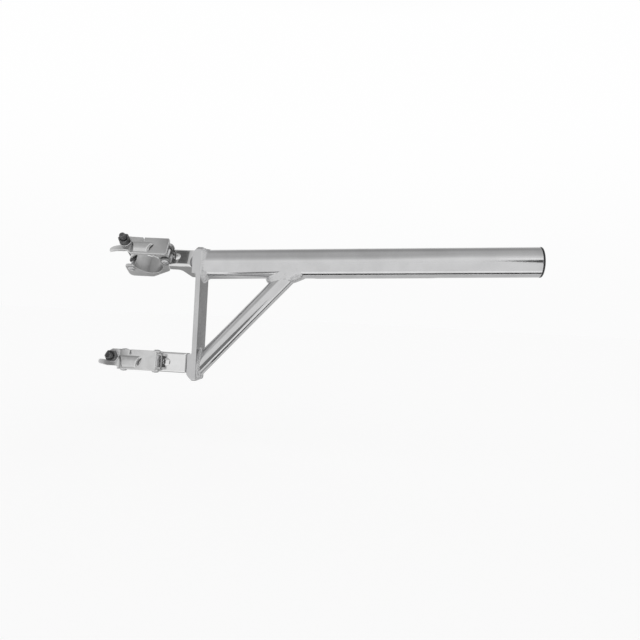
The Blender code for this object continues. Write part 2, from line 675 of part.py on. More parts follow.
def build_bolt(make, materials):
    """The T-bolt on its pin, with washer and nut."""
    origin = spot(*T_PIN)
    front = Vector((0, -1, 0))
    axis_base = origin + Vector((0, 0, T_BOLT_HEIGHT))
    eye_low = T_BOLT_HEIGHT - T_BOLT_EYE_WIDTH / 2
    bolt = make.piece("t_bolt", cylinder("shank", axis_base, axis_base + front * T_BOLT_LENGTH,
                                         T_BOLT_DIAMETER / 2), materials["dark"], origin)
    make.add(bolt, upright("eye", T_PIN, T_BOLT_EYE_RADIUS, eye_low, eye_low + T_BOLT_EYE_WIDTH))
    make.cut(bolt, upright("pin_hole", T_PIN, PIN_DIAMETER / 2 + GAP, -JAW_WIDTH, JAW_WIDTH))
    hole = T_BOLT_DIAMETER / 2 + GAP
    ring(make, "clamp_washer", axis_base + front * WASHER_SEAT, front, WASHER_DIAMETER / 2,
         WASHER_THICKNESS, hole, materials["zinc"], axis_base)
    nut = make.piece("clamp_nut", hex_nut("nut", axis_base + front * NUT_SEAT, front),
                     materials["dark"], axis_base)
    make.cut(nut, cylinder("thread", axis_base, axis_base + front * T_BOLT_LENGTH, hole))


def build_pins(make, materials):
    """The hinge pin, the bolt's pin and the rivet through tail and bracket."""
    low = -HALF_WIDTH - GAP
    for name, centre in (("hinge_pin", HINGE), ("t_bolt_pin", T_PIN)):
        make.piece(name, double_headed(name, centre, low, -low, PIN_DIAMETER / 2),
                   materials["zinc"])
    profile = [(0, RIVET_HEAD), (RIVET_HEAD_RADIUS * HEAD_SIDE_SHARE, RIVET_HEAD * HEAD_TOP_SHARE),
               (RIVET_HEAD_RADIUS, 0), (RIVET_DIAMETER / 2, 0)]
    front = WEB_FRONT + GAP
    back = TAIL_BACK - GAP
    outer = [(radius, distance + front) for radius, distance in profile]
    inner = [(radius, back - distance) for radius, distance in reversed(profile)]
    make.piece("jaw_rivet", turned_solid("rivet", outer + inner, spot(RIVET_REACH, 0), (0, -1, 0)),
               materials["zinc"])


def new_empty(parts, name, place, turn=0.0, parent=None):
    """A frame for the pieces of a clamp, turned about X."""
    frame = bpy.data.objects.new(name, None)
    frame.location = place
    frame.rotation_euler = (turn, 0, 0)
    frame.parent = parent
    parts.objects.link(frame)
    return frame


def build_clamp(parts, cutters, name, height, tilt_deg, extra, materials):
    """One whole clamp, turned about its pivot bolt."""
    pivot = new_empty(parts, name + "_pivot", (0, 0, height), -math.radians(tilt_deg))
    make = Builder(parts, cutters, pivot, name + "_")
    build_pivot(make, materials)
    build_bracket(make, materials, extra)
    jaws = new_empty(parts, name + "_jaws", spot(extra, 0), parent=pivot)
    make = Builder(parts, cutters, jaws, name + "_")
    build_rear_jaw(make, materials)
    build_front_jaw(make, materials)
    build_bolt(make, materials)
    build_pins(make, materials)


def main():
    clear_scene()
    parts = new_collection("lighting_pipe")
    cutters = new_collection("cutters", hidden=True)
    materials = {
        "metal": principled("polished_aluminium", METAL, 0.22, 1.0),
        "zinc": principled("zinc_plated_steel", ZINC, 0.32, 1.0),
        "dark": principled("dark_steel", DARK_STEEL, 0.45, 0.8),
        "plastic": principled("black_plastic", BLACK_PLASTIC, 0.5, 0.0),
        "weld": principled("weld_metal", WELD_METAL, 0.35, 1.0),
    }
    arm = Builder(parts, cutters)
    build_arm(arm, materials)
    build_welds(arm, materials)
    build_clamp(parts, cutters, "upper", PIVOT_HEIGHT, UPPER_TILT_DEG, UPPER_EXTRA_REACH,
                materials)
    build_clamp(parts, cutters, "lower", -PIVOT_HEIGHT, LOWER_TILT_DEG, LOWER_EXTRA_REACH,
                materials)
    for piece in parts.objects:
        if piece.type == "MESH":
            piece.data.shade_smooth()
            piece.data.set_sharp_from_angle(angle=math.radians(SHARP_DEG))


main()
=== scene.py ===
"""Lighting pipe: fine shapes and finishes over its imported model.

A polished tube is welded to an upright bar with a brace below it, and two
swivelling clamps stand on the bar's other side. Every piece here stands for a
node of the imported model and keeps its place. Units are metres and +Z is up.
Inside a clamp, reach is the distance from the bar towards -X, front is the
distance towards -Y, and height is measured along the gripped tube.
"""

import math

import bmesh
import bpy
import numpy as np
from bpy.props import FloatProperty, FloatVectorProperty, IntProperty, PointerProperty
from mathutils import Matrix, Vector
from mathutils.geometry import delaunay_2d_cdt


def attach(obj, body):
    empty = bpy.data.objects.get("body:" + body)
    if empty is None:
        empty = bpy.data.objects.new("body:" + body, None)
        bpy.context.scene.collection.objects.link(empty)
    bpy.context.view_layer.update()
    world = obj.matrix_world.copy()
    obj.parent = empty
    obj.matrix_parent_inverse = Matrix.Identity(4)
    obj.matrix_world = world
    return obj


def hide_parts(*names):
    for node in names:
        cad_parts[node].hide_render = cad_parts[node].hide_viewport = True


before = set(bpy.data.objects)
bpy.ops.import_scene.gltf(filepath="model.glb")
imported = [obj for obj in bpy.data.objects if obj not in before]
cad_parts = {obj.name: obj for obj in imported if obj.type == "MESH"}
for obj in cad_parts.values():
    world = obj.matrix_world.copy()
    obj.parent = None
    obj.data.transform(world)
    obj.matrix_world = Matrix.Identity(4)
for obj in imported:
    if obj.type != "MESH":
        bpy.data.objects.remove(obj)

bl_info = {
    "name": "Lighting pipe",
    "version": (1, 0, 0),
    "blender": (4, 5, 0),
    "location": "View3D > Sidebar > Lighting pipe",
    "description": "Builds the finish of a welded lighting pipe with two tube clamps",
    "category": "Object",
}

# clearance between pieces that touch, and the smallest length that counts
GAP = 0.0003
SMALLEST = 0.00001

# the pipe's end cap, and the close rows of faces at both ends of a tube
CAP_FLANGE = 0.003
CAP_PLUG = 0.016
CLOSE_ROW = 0.0012

# where each clamp turns, and by how much
SIDES = ("upper", "lower")
PIVOT_HEIGHT = 0.085
TILT = {"upper": math.radians(30.0), "lower": math.radians(6.0)}

# how much farther from the bar the jaws of each clamp stand
EXTRA_REACH = {"upper": 0.0, "lower": 0.008}

# pads on the bar under the clamps, the taper of its ends, and where a bracket's base lies
BAR_PAD = 0.007
PAD_ROUND = 0.003
TAPER_START = 0.002
BRACKET_BASE = BAR_PAD + GAP

# clamp layout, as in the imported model: a point is (reach, front), CHORD is the middle of
# the gripped tube, and T_PIN is the pin of the swing bolt
JAW_RADIUS = 0.0255
CHORD = (0.084, 0.017)
T_PIN = (0.116, 0.002)
T_BOLT_HEIGHT = 0.004
HINGE = (0.051, 0.026)
HALF_WIDTH = 0.017
WEB_FRONT = 0.01875
TAIL_FRONT = 0.01495
FRONT_INNER = CHORD[1] + JAW_RADIUS
BRACKET_REACH = 0.048
RIVET_REACH = 0.036

# the way that a clamp's front faces, and the foot of its swing bolt
FORWARD = Vector((0, -1, 0))
BOLT_BASE = Vector((-T_PIN[0], -T_PIN[1], T_BOLT_HEIGHT))

# the front jaw's crown round the bolt's pin, where it begins and where it is full
CROWN_RADIUS = 0.0462
CROWN_START = -0.012
CROWN_FULL = -0.009

# the front jaw's pressed rib: its height, its two ends there, and how they slant and rise
RIB_HEIGHT = -0.004
RIB_FAR_END = 0.1003
RIB_FAR_SLANT = 0.30
RIB_FAR_EDGE = 0.003
RIB_NEAR_END = 0.0735
RIB_NEAR_SLANT = -0.35
RIB_NEAR_EDGE = 0.002

# the slit in the front jaw: between two reaches, and how high it begins
SLIT = (0.0872, 0.0892)
SLIT_START = 0.0095

# pins, screws and washers
PIN_RADIUS = 0.004
PIVOT_RADIUS = 0.005
PIVOT_HEAD = 0.010
PIVOT_SUNK = 0.005
SCREW_TIP = 0.003
THREAD_START = 0.031
WASHER_THICKNESS = 0.002
WASHER_RADIUS = 0.010

# a thread's ridge and how deep its middle is sunk, as shares of its pitch
THREAD_RIDGE = 0.46
THREAD_SUNK = 0.42

# cross-sections along a weld, and how deep its root lies between its two pieces
SEAM_STEPS = 720
WELD_ROOT = 0.001

# how strongly edges wear, and the dirt and painted shade inside the jaws: how dark, how far and
# how sudden
EDGE_WEAR = 14.0
JAW_GRIME_AND_SHADE = 0.3
JAW_GRIME_AND_SHADE_SPREAD = 0.0016
JAW_GRIME_AND_SHADE_SLOPE = 1000

# painted shade round each clamp's hinge, set on the upper clamp only: how dark, how far and how
# sudden
HINGE_SHADE = {"upper": 0.8, "lower": 0.0}
HINGE_SHADE_SPREAD = 0.0105
HINGE_SHADE_SLOPE = 700


def arm_sizes():
    """The sizes of the welded arm."""
    return bpy.context.scene.lighting_pipe_arm


def clamp_sizes():
    """The sizes of a clamp's pieces."""
    return bpy.context.scene.lighting_pipe_clamp


def finishes():
    """The colours of the finishes."""
    return bpy.context.scene.lighting_pipe_finish


def a_length(name, description, default):
    """A size that a user may change, in metres."""
    return FloatProperty(name=name, description=description, default=default, unit="LENGTH")


def an_angle(name, description, degrees):
    """An angle that a user may change."""
    return FloatProperty(name=name, description=description, default=math.radians(degrees),
                         subtype="ANGLE")


def a_colour(name, description, default):
    """A colour that a user may change."""
    return FloatVectorProperty(name=name, description=description, default=default,
                               subtype="COLOR", size=3)


class ArmSizes(bpy.types.PropertyGroup):
    """Sizes of the pipe, the bar, the brace and their welds"""

    pipe_diameter: a_length("Pipe diameter", "Outside of the lamp pipe", 0.050)
    pipe_wall: a_length("Pipe wall", "Wall of the lamp pipe", 0.003)
    pipe_length: a_length("Pipe length", "From the bar to the free end", 0.555)
    pipe_rise: an_angle("Pipe rise", "Angle of the pipe above level", 3.0)
    bar_width: a_length("Bar width", "Width of the upright bar", 0.050)
    bar_thickness: a_length("Bar thickness", "Thickness of the upright bar", 0.008)
    bar_height: a_length("Bar height", "Height of the upright bar", 0.224)
    bar_corner: a_length("Bar corner", "Radius of the bar's corners", 0.005)
    bar_edge: a_length("Bar edge", "Rounding along the bar's edges", 0.0009)
    brace_diameter: a_length("Brace diameter", "Outside of the brace", 0.030)
    brace_wall: a_length("Brace wall", "Wall of the brace", 0.0025)
    brace_angle: an_angle("Brace angle", "Between brace and pipe", 45.0)
    brace_foot: a_length("Brace foot", "Height of the brace's foot", -0.087)
    weld_rise: a_length("Weld rise", "How far a weld climbs what it joins", 0.0075)
    weld_run: a_length("Weld run", "How far a weld runs along its tube", 0.0080)
    weld_ripple: a_length("Weld ripple", "Distance between weld ripples", 0.0031)
    weld_depth: a_length("Weld depth", "Depth of the weld ripples", 0.0008)


class ClampSizes(bpy.types.PropertyGroup):
    """Sizes of the pieces of a clamp"""

    plate: a_length("Plate", "Thickness of bracket and rear jaw", 0.0035)
    front_plate: a_length("Front plate", "Thickness of the front jaw", 0.0045)
    band: a_length("Saddle band", "Thickness of the gripping bands", 0.004)
    rib_radius: a_length("Rib radius", "Half width of the pressed rib", 0.0088)
    rib_proud: a_length("Rib height", "How far the pressed rib stands out", 0.005)
    bolt_diameter: a_length("Bolt diameter", "Shank of the swing bolt", 0.010)
    bolt_length: a_length("Bolt length", "Swing bolt from its pin to its tip", 0.0663)
    thread_pitch: a_length("Thread pitch", "Pitch of the bolt threads", 0.0015)
    nut_flats: a_length("Nut", "Across the flats of the nuts", 0.017)
    nut_thickness: a_length("Nut thickness", "Thickness of the nuts", 0.0085)
    voxel: a_length("Pressing grain", "Fineness of the pressed pieces", 0.00055)
    soften: IntProperty(name="Edge rounding", description="How round the pressed edges are",
                        default=5, min=0)


class Finishes(bpy.types.PropertyGroup):
    """Colours of the metals, the plastic and the floor"""

    tube: a_colour("Tube", "Polished aluminium of pipe and brace", (0.60, 0.60, 0.605))
    bar: a_colour("Bar", "Rolled aluminium of the bar", (0.53, 0.53, 0.535))
    weld: a_colour("Weld", "Weld metal", (0.60, 0.60, 0.605))
    bracket: a_colour("Bracket", "Bright plating of the brackets", (0.73, 0.73, 0.73))
    jaw: a_colour("Jaw", "Satin plating of the jaws", (0.60, 0.60, 0.60))
    steel: a_colour("Steel", "Bolts, pins and washers", (0.58, 0.58, 0.585))
    nut: a_colour("Nut", "Dark oiled steel of nuts and swing bolts", (0.13, 0.13, 0.132))
    plastic: a_colour("Plastic", "Black plastic of the end cap", (0.02, 0.02, 0.021))
    floor: a_colour("Floor", "Pale floor", (0.9, 0.9, 0.9))


class Value:
    """A number that changes over a surface or a mesh: the output of a node."""

    def __init__(self, maker, socket):
        self.maker = maker
        self.socket = socket

    def maths(self, operation, first, second=0.0):
        """One Math node's result from values or numbers."""
        return self.maker.node("ShaderNodeMath", {"operation": operation}, {0: first, 1: second})

    def __add__(self, other):
        return self.maths("ADD", self, other)

    def __radd__(self, other):
        return self.maths("ADD", other, self)

    def __sub__(self, other):
        return self.maths("SUBTRACT", self, other)

    def __rsub__(self, other):
        return self.maths("SUBTRACT", other, self)

    def __mul__(self, other):
        return self.maths("MULTIPLY", self, other)

    def __rmul__(self, other):
        return self.maths("MULTIPLY", other, self)

    def __abs__(self):
        return self.maths("ABSOLUTE", self)

    def sine(self):
        """The sine of this value, in radians."""
        return self.maths("SINE", self)

    def ramp(self, low, high, start=0.0, end=1.0):
        """This value spread smoothly from start to end while it goes from low to high."""
        return self.maker.node("ShaderNodeMapRange", {"interpolation_type": "SMOOTHSTEP"},
                               {"Value": self, "From Min": low, "From Max": high,
                                "To Min": start, "To Max": end})


class NodeMaker:
    """Makes the nodes of a material, a world or a geometry tree."""

    def __init__(self, tree):
        self.tree = tree

    def feed(self, socket, given):
        """Links a value to a socket, or sets a constant on it."""
        if isinstance(given, Value):
            self.tree.links.new(given.socket, socket)
        else:
            socket.default_value = given

    def node(self, kind, settings=None, inputs=None, output=0):
        """Adds a node: its settings come first, then its sockets' values or links."""
        made = self.tree.nodes.new(kind)
        for name, setting in (settings or {}).items():
            setattr(made, name, setting)
        for name, given in (inputs or {}).items():
            self.feed(made.inputs[name], given)
        return Value(self, made.outputs[output])

    def mix(self, factor, first, second):
        """A colour between two colours."""
        made = self.tree.nodes.new("ShaderNodeMix")
        made.data_type = "RGBA"
        given = {"Factor_Float": factor, "A_Color": first, "B_Color": second}
        for socket in made.inputs:
            if socket.identifier in given:
                self.feed(socket, given[socket.identifier])
        chosen = [socket for socket in made.outputs if socket.identifier == "Result_Color"]
        return Value(self, chosen[0])

    def place(self):
        """The place on the piece, in the object's own coordinates."""
        return self.node("ShaderNodeTexCoord", output=3)

    def stretched(self, turn, scale):
        """The place turned and then stretched, for lines along one direction."""
        return self.node("ShaderNodeMapping", {"vector_type": "TEXTURE"}, {
            "Vector": self.place(), "Rotation": turn,
            "Scale": tuple(1.0 / value for value in scale)})

    def noise(self, scale, detail, roughness, distortion=0.0, vector=None):
        """Noise between 0 and 1 over the piece, or over another vector."""
        return self.node("ShaderNodeTexNoise", {}, {
            "Vector": vector or self.place(), "Scale": scale, "Detail": detail,
            "Roughness": roughness, "Distortion": distortion})

    def stored(self, name):
        """A number that is stored on the points of the piece."""
        return self.node("ShaderNodeAttribute", {"attribute_name": name}, output=2)

    def bump(self, height, distance):
        """A surface raised by a height between 0 and 1 times the distance."""
        return self.node("ShaderNodeBump", {}, {"Strength": 1.0, "Distance": distance,
                                                "Height": height})

    def shade(self, inputs):
        """Sets or links sockets of the material's shader."""
        shader = self.tree.nodes["Principled BSDF"]
        for name, given in inputs.items():
            self.feed(shader.inputs[name], given)


def new_material(name):
    """A material with nothing in it but its shader, and the maker of its nodes."""
    material = bpy.data.materials.new(name)
    material.use_nodes = True
    return material, NodeMaker(material.node_tree)


def tone(colour, share):
    """A colour made lighter or darker."""
    return (*[min(1.0, channel * share) for channel in colour], 1.0)


def drawn_metal(name, colour, roughness, turn, grain=(6.0, 900.0, 900.0), depth=0.0000022,
                spread=0.05):
    """Metal with fine lines along one direction, faint clouds and a few rubbed places."""
    material, paint = new_material(name)
    finer = (grain[0] * 4, grain[1] * 2.6, grain[2] * 2.6)
    lines = paint.noise(1.0, 4.0, 0.6, vector=paint.stretched(turn, grain))
    scratches = paint.noise(1.0, 2.0, 0.5, vector=paint.stretched(turn, finer)).ramp(0.62, 0.74)
    clouds = paint.noise(26.0, 5.0, 0.6)
    rubbed = paint.noise(9.0, 3.0, 0.5).ramp(0.5, 0.75)
    paint.shade({
        "Base Color": paint.mix(clouds.ramp(0.3, 0.7), tone(colour, 0.95), tone(colour, 1.04)),
        "Roughness": (roughness + (lines - 0.5) * spread + (clouds - 0.5) * (spread * 1.4)
                      + rubbed * (spread * 0.8) + scratches * spread),
        "Metallic": 1.0,
        "Normal": paint.bump(lines * 0.7 + scratches * 0.5 + clouds * 0.3, depth),
    })
    return material


def plated_metal(name, colour, roughness, mottle=0.08, depth=0.00001):
    """Plated pressed steel: a fine grain, cloudy plating, bright worn edges, darker concave
    corners, dirt and painted shade inside the jaws, and painted shade round the hinge.
    """
    material, paint = new_material(name)
    grain = paint.noise(1500.0, 3.0, 0.6)
    clouds = paint.noise(75.0, 5.0, 0.62, 0.4)
    broad = paint.noise(24.0, 3.0, 0.5)
    worn = (paint.stored("edge") + (clouds - 0.5) * 0.5).ramp(0.25, 0.8, 0.0, 0.35)
    # darker and rougher in concave corners
    darker_in_hollows = (paint.stored("corner") + (clouds - 0.5) * 0.4).ramp(0.2, 0.9, 0.0, 0.45)
    # dirt and painted shade inside the jaws, and painted shade round the hinge, darken the colour
    # below
    painted_shade_and_grime = paint.stored("painted_shade_and_grime")
    plating = paint.mix(clouds.ramp(0.25, 0.75), tone(colour, 1.0 - mottle),
                        tone(colour, 1.0 + mottle))
    rubbed = paint.mix(worn, plating, tone(colour, 1.35))
    hollows_darkened = paint.mix(darker_in_hollows, rubbed, tone(colour, 0.22))
    paint.shade({
        "Base Color": paint.mix(painted_shade_and_grime * 0.8, hollows_darkened, tone(colour, 0.15)),
        "Roughness": (roughness + (grain - 0.5) * 0.10 + (broad - 0.5) * 0.18 + darker_in_hollows * 0.3
                      - worn * 0.12 + painted_shade_and_grime * 0.15),
        "Metallic": 1.0,
        "Normal": paint.bump(grain * 0.6 + clouds * 0.6, depth),
    })
    return material


def weld_metal(name, colour):
    """Bright weld metal: uneven, glassy in places, with a little soot."""
    material, paint = new_material(name)
    lumps = paint.noise(420.0, 4.0, 0.6, 0.6)
    soot = paint.noise(90.0, 4.0, 0.6).ramp(0.55, 0.8, 0.0, 0.35)
    paint.shade({
        "Base Color": paint.mix(soot, tone(colour, 1.0), tone(colour, 0.45)),
        "Roughness": 0.2 + (lumps - 0.5) * 0.2 + soot * 0.4,
        "Metallic": 1.0,
        "Normal": paint.bump(lumps, 0.00018),
    })
    return material


def oiled_steel(name, colour):
    """Dark steel, rough and slightly oily, with bare bright specks."""
    material, paint = new_material(name)
    scale = paint.noise(700.0, 5.0, 0.7, 0.5)
    bare = scale.ramp(0.54, 0.66, 0.0, 0.6)
    paint.shade({
        "Base Color": paint.mix(bare, tone(colour, 1.0), (0.45, 0.45, 0.45, 1.0)),
        "Roughness": 0.42 - scale * 0.22,
        "Metallic": 1.0,
        "Normal": paint.bump(scale, 0.00016),
    })
    return material


def moulded_plastic(name, colour):
    """Black plastic with a fine moulded grain."""
    material, paint = new_material(name)
    grain = paint.noise(1900.0, 2.0, 0.5)
    scuffs = paint.noise(55.0, 4.0, 0.7).ramp(0.5, 0.8)
    paint.shade({
        "Base Color": paint.mix(scuffs, tone(colour, 1.0), tone(colour, 2.2)),
        "Roughness": 0.42 + scuffs * 0.2,
        "Specular IOR Level": 0.45,
        "Normal": paint.bump(grain, 0.00004),
    })
    return material


def finish(name):
    """The material of that name, made when it is first asked for."""
    made = bpy.data.materials.get(name)
    if made:
        return made
    colours = finishes()
    rise = arm_sizes().pipe_rise
    steep = rise + arm_sizes().brace_angle
    upright = (1200.0, 1200.0, 9.0)
    makers = {
        "polished_pipe": lambda: drawn_metal(name, colours.tube, 0.12, (0, -rise, 0), spread=0.03),
        "polished_brace": lambda: drawn_metal(name, colours.tube, 0.13, (0, -steep, 0)),
        "rolled_bar": lambda: drawn_metal(name, colours.bar, 0.24, (0, 0, 0), grain=upright,
                                          depth=0.000001, spread=0.02),
        "bright_weld": lambda: weld_metal(name, colours.weld),
        "bright_plating": lambda: plated_metal(name, colours.bracket, 0.12, 0.03, 0.000004),
        "satin_plating": lambda: plated_metal(name, colours.jaw, 0.33),
        "turned_steel": lambda: plated_metal(name, colours.steel, 0.27, 0.05, 0.000005),
        "oiled_nut": lambda: oiled_steel(name, colours.nut),
        "cap_plastic": lambda: moulded_plastic(name, colours.plastic),
    }
    return makers[name]()


def mesh_object(name, shape):
    """An object in the scene from a bmesh."""
    mesh = bpy.data.meshes.new(name)
    shape.to_mesh(mesh)
    shape.free()
    piece = bpy.data.objects.new(name, mesh)
    bpy.context.scene.collection.objects.link(piece)
    return piece


def settle(piece):
    """Makes a piece's modifiers part of its mesh."""
    graph = bpy.context.evaluated_depsgraph_get()
    mesh = bpy.data.meshes.new_from_object(piece.evaluated_get(graph))
    piece.modifiers.clear()
    piece.data = mesh
    return piece


def fuse(piece, others, operation="UNION"):
    """Joins other solids to a piece, or cuts them from it."""
    for other in others:
        step = piece.modifiers.new("fuse", "BOOLEAN")
        step.operation = operation
        step.solver = "EXACT"
        step.object = other
    settle(piece)
    for other in others:
        bpy.data.objects.remove(other, do_unlink=True)
    return piece


def rounded_edges(piece, width, segments=3, limit=35.0):
    """Rounds the sharp edges of a piece."""
    step = piece.modifiers.new("round", "BEVEL")
    step.width = width
    step.segments = segments
    step.limit_method = "ANGLE"
    step.angle_limit = math.radians(limit)
    return settle(piece)


def smooth(piece, limit=35.0):
    """Smooth shading with sharp edges kept, and flat faces shaded flat up to their rounding."""
    piece.data.shade_smooth()
    piece.data.set_sharp_from_angle(angle=math.radians(limit))
    step = piece.modifiers.new("even", "WEIGHTED_NORMAL")
    step.keep_sharp = True
    return settle(piece)


def joined(name, pieces):
    """One object from several, without joining their surfaces."""
    shape = bmesh.new()
    for piece in pieces:
        shape.from_mesh(piece.data)
        bpy.data.objects.remove(piece, do_unlink=True)
    return mesh_object(name, shape)


def mark_edges(piece, hinge_shade):
    """Stores how far each point stands out or lies in a corner, for wear and darker corners, and
    how much dirt and painted shade darken it inside the jaws and round the hinge.
    """
    mesh = piece.data
    count = len(mesh.vertices)

    def read(items, field, width, kind):
        """One field of the mesh's points or edges, as rows."""
        values = np.empty(len(items) * width, dtype=kind)
        items.foreach_get(field, values)
        return values.reshape(-1, width)

    places = read(mesh.vertices, "co", 3, float)
    normals = read(mesh.vertices, "normal", 3, float)
    ends = read(mesh.edges, "vertices", 2, int)
    neighbours = np.maximum(np.bincount(ends.ravel(), minlength=count), 1)

    def average(values):
        """The mean of each point's neighbours."""
        total = np.zeros((count, values.shape[1]))
        for axis in range(values.shape[1]):
            total[:, axis] = (np.bincount(ends[:, 0], values[ends[:, 1], axis], count)
                              + np.bincount(ends[:, 1], values[ends[:, 0], axis], count))
        return total / neighbours[:, None]

    spacing = np.linalg.norm(places[ends[:, 0]] - places[ends[:, 1]], axis=1).mean()
    standing = ((places - average(places)) * normals).sum(axis=1, keepdims=True) / spacing
    for _ in range(3):
        standing = (standing + average(standing)) / 2
    standing = standing[:, 0] * EDGE_WEAR
    from_chord = np.hypot(places[:, 0] + CHORD[0], places[:, 1] + CHORD[1])
    from_hinge = np.hypot(places[:, 0] + HINGE[0], places[:, 1] + HINGE[1])
    # dirt and painted shade inside the jaws
    jaw_grime_and_shade = np.minimum((JAW_RADIUS + JAW_GRIME_AND_SHADE_SPREAD - from_chord) * JAW_GRIME_AND_SHADE_SLOPE, JAW_GRIME_AND_SHADE)
    # painted shade round the hinge, added to the dirt and painted shade inside the jaws
    painted_shade_and_grime = np.maximum(jaw_grime_and_shade, np.minimum((HINGE_SHADE_SPREAD - from_hinge) * HINGE_SHADE_SLOPE, hinge_shade))
    for name, values in (("edge", standing), ("corner", -standing), ("painted_shade_and_grime", painted_shade_and_grime)):
        stored = mesh.attributes.new(name, "FLOAT", "POINT")
        stored.data.foreach_set("value", np.clip(values, 0.0, 1.0).astype(np.float32))
    return piece


def pressed(name, pieces, passes, hinge_shade=0.0):
    """One soft-edged pressing from several overlapping closed solids."""
    sizes = clamp_sizes()
    piece = joined(name, pieces)
    remesh = piece.modifiers.new("fuse", "REMESH")
    remesh.mode = "VOXEL"
    remesh.voxel_size = sizes.voxel
    soften = piece.modifiers.new("soften", "SMOOTH")
    soften.factor = 0.5
    soften.iterations = passes
    settle(piece)
    piece.data.shade_smooth()
    return mark_edges(piece, hinge_shade)


def finished(piece, material, body, nodes):
    """Gives a piece its finish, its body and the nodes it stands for."""
    piece.data.materials.clear()
    piece.data.materials.append(finish(material))
    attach(piece, body)
    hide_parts(*nodes)
    return piece


def arc(centre, radius, start, end, steps):
    """Points on an arc, with angles in degrees."""
    points = []
    for step in range(steps + 1):
        angle = math.radians(start + (end - start) * step / steps)
        points.append((centre[0] + radius * math.cos(angle),
                       centre[1] + radius * math.sin(angle)))
    return points


def ring(centre, radius, steps=48):
    """A closed circle of points."""
    return arc(centre, radius, 0.0, 360.0, steps)[:-1]


def rounded(corners, steps=8):
    """An outline whose corners (x, y, radius) are rounded by arcs."""
    points = []
    for index, (x, y, radius) in enumerate(corners):
        here = Vector((x, y))
        if radius <= 0:
            points.append((x, y))
            continue
        before = (Vector(corners[index - 1][:2]) - here).normalized()
        after = (Vector(corners[(index + 1) % len(corners)][:2]) - here).normalized()
        half = before.angle(after) / 2
        centre = here + (before + after).normalized() * radius / math.sin(half)
        start = here + before * radius / math.tan(half) - centre
        sweep = start.angle_signed(here + after * radius / math.tan(half) - centre)
        for step in range(steps + 1):
            point = centre + Matrix.Rotation(-sweep * step / steps, 2) @ start
            points.append((point.x, point.y))
    return points


def inside(loop, x, y):
    """Whether a point lies in a closed outline."""
    held = False
    before = loop[-1]
    for point in loop:
        if (point[1] > y) != (before[1] > y):
            cross = (before[0] - point[0]) * (y - point[1]) / (before[1] - point[1]) + point[0]
            if x < cross:
                held = not held
        before = point
    return held


def outline_net(outline, cutouts, spacing):
    """Triangles that fill an outline, apart from its cutouts, with a grid of inner points."""
    loops = [outline] + list(cutouts)
    points = []
    edges = []
    for loop in loops:
        first = len(points)
        points += [Vector(point) for point in loop]
        edges += [(first + i, first + (i + 1) % len(loop)) for i in range(len(loop))]
    if spacing:
        low_x = min(x for x, _ in outline)
        high_x = max(x for x, _ in outline)
        low_y = min(y for _, y in outline)
        high_y = max(y for _, y in outline)
        for column in range(int((high_x - low_x) / spacing) + 1):
            for row in range(int((high_y - low_y) / spacing) + 1):
                point = (low_x + (column + 0.5 * (row % 2)) * spacing, low_y + row * spacing)
                if inside(outline, *point):
                    points.append(Vector(point))
    placed, _, faces, _, _, _ = delaunay_2d_cdt(points, edges, [], 0, SMALLEST, False)
    kept = []
    for face in faces:
        x = sum(placed[i].x for i in face) / len(face)
        y = sum(placed[i].y for i in face) / len(face)
        if inside(outline, x, y) and not any(inside(loop, x, y) for loop in cutouts):
            kept.append(tuple(face))
    return placed, kept


def plate(name, outline, low, high, where, cutouts=(), spacing=0.0):
    """A closed plate over an outline.

    low and high are numbers or functions of a point in the outline, and where
    turns (u, v, w) into a place.
    """
    placed, faces = outline_net(outline, cutouts, spacing)
    used = sorted({i for face in faces for i in face})
    shape = bmesh.new()
    layers = []
    for level in (low, high):
        layer = {}
        for i in used:
            u, v = placed[i]
            layer[i] = shape.verts.new(where(u, v, level(u, v) if callable(level) else level))
        layers.append(layer)
    under, over = layers
    sides = [(face[i - 1], face[i]) for face in faces for i in range(len(face))]
    within = set(sides)
    for face in faces:
        shape.faces.new([over[i] for i in face])
        shape.faces.new([under[i] for i in reversed(face)])
    for a, b in sides:
        if (b, a) not in within:
            shape.faces.new([under[a], under[b], over[b], over[a]])
    bmesh.ops.remove_doubles(shape, verts=shape.verts, dist=SMALLEST / 10)
    bmesh.ops.recalc_face_normals(shape, faces=shape.faces)
    return mesh_object(name, shape)


def aimed(direction):
    """The turn that takes +Z to a direction."""
    return Vector(direction).to_track_quat("Z", "Y").to_matrix()


def turned(name, profile, base, direction, sides=64, closed=False):
    """A turned piece from (radius, distance) pairs along a direction.

    A closed profile makes a ring. An open one starts and ends on the axis.
    """
    shape = bmesh.new()
    aim = aimed(direction)
    base = Vector(base)
    rows = []
    for radius, distance in profile:
        if radius < SMALLEST:
            rows.append([shape.verts.new(base + aim @ Vector((0, 0, distance)))] * sides)
            continue
        row = []
        for side in range(sides):
            angle = 2 * math.pi * side / sides
            row.append(shape.verts.new(base + aim @ Vector((
                radius * math.cos(angle), radius * math.sin(angle), distance))))
        rows.append(row)
    pairs = list(zip(rows, rows[1:]))
    if closed:
        pairs.append((rows[-1], rows[0]))
    for first, second in pairs:
        for side in range(sides):
            after = (side + 1) % sides
            corners = [first[side], first[after], second[after], second[side]]
            kept = [corner for i, corner in enumerate(corners) if corner not in corners[:i]]
            if len(kept) > 2:
                shape.faces.new(kept)
    bmesh.ops.recalc_face_normals(shape, faces=shape.faces)
    return mesh_object(name, shape)


def rod(name, start, end, radius, sides=48):
    """A plain round solid between two points, used to join or cut."""
    start = Vector(start)
    along = Vector(end) - start
    return turned(name, [(0, 0), (radius, 0), (radius, along.length), (0, along.length)], start,
                  along, sides)


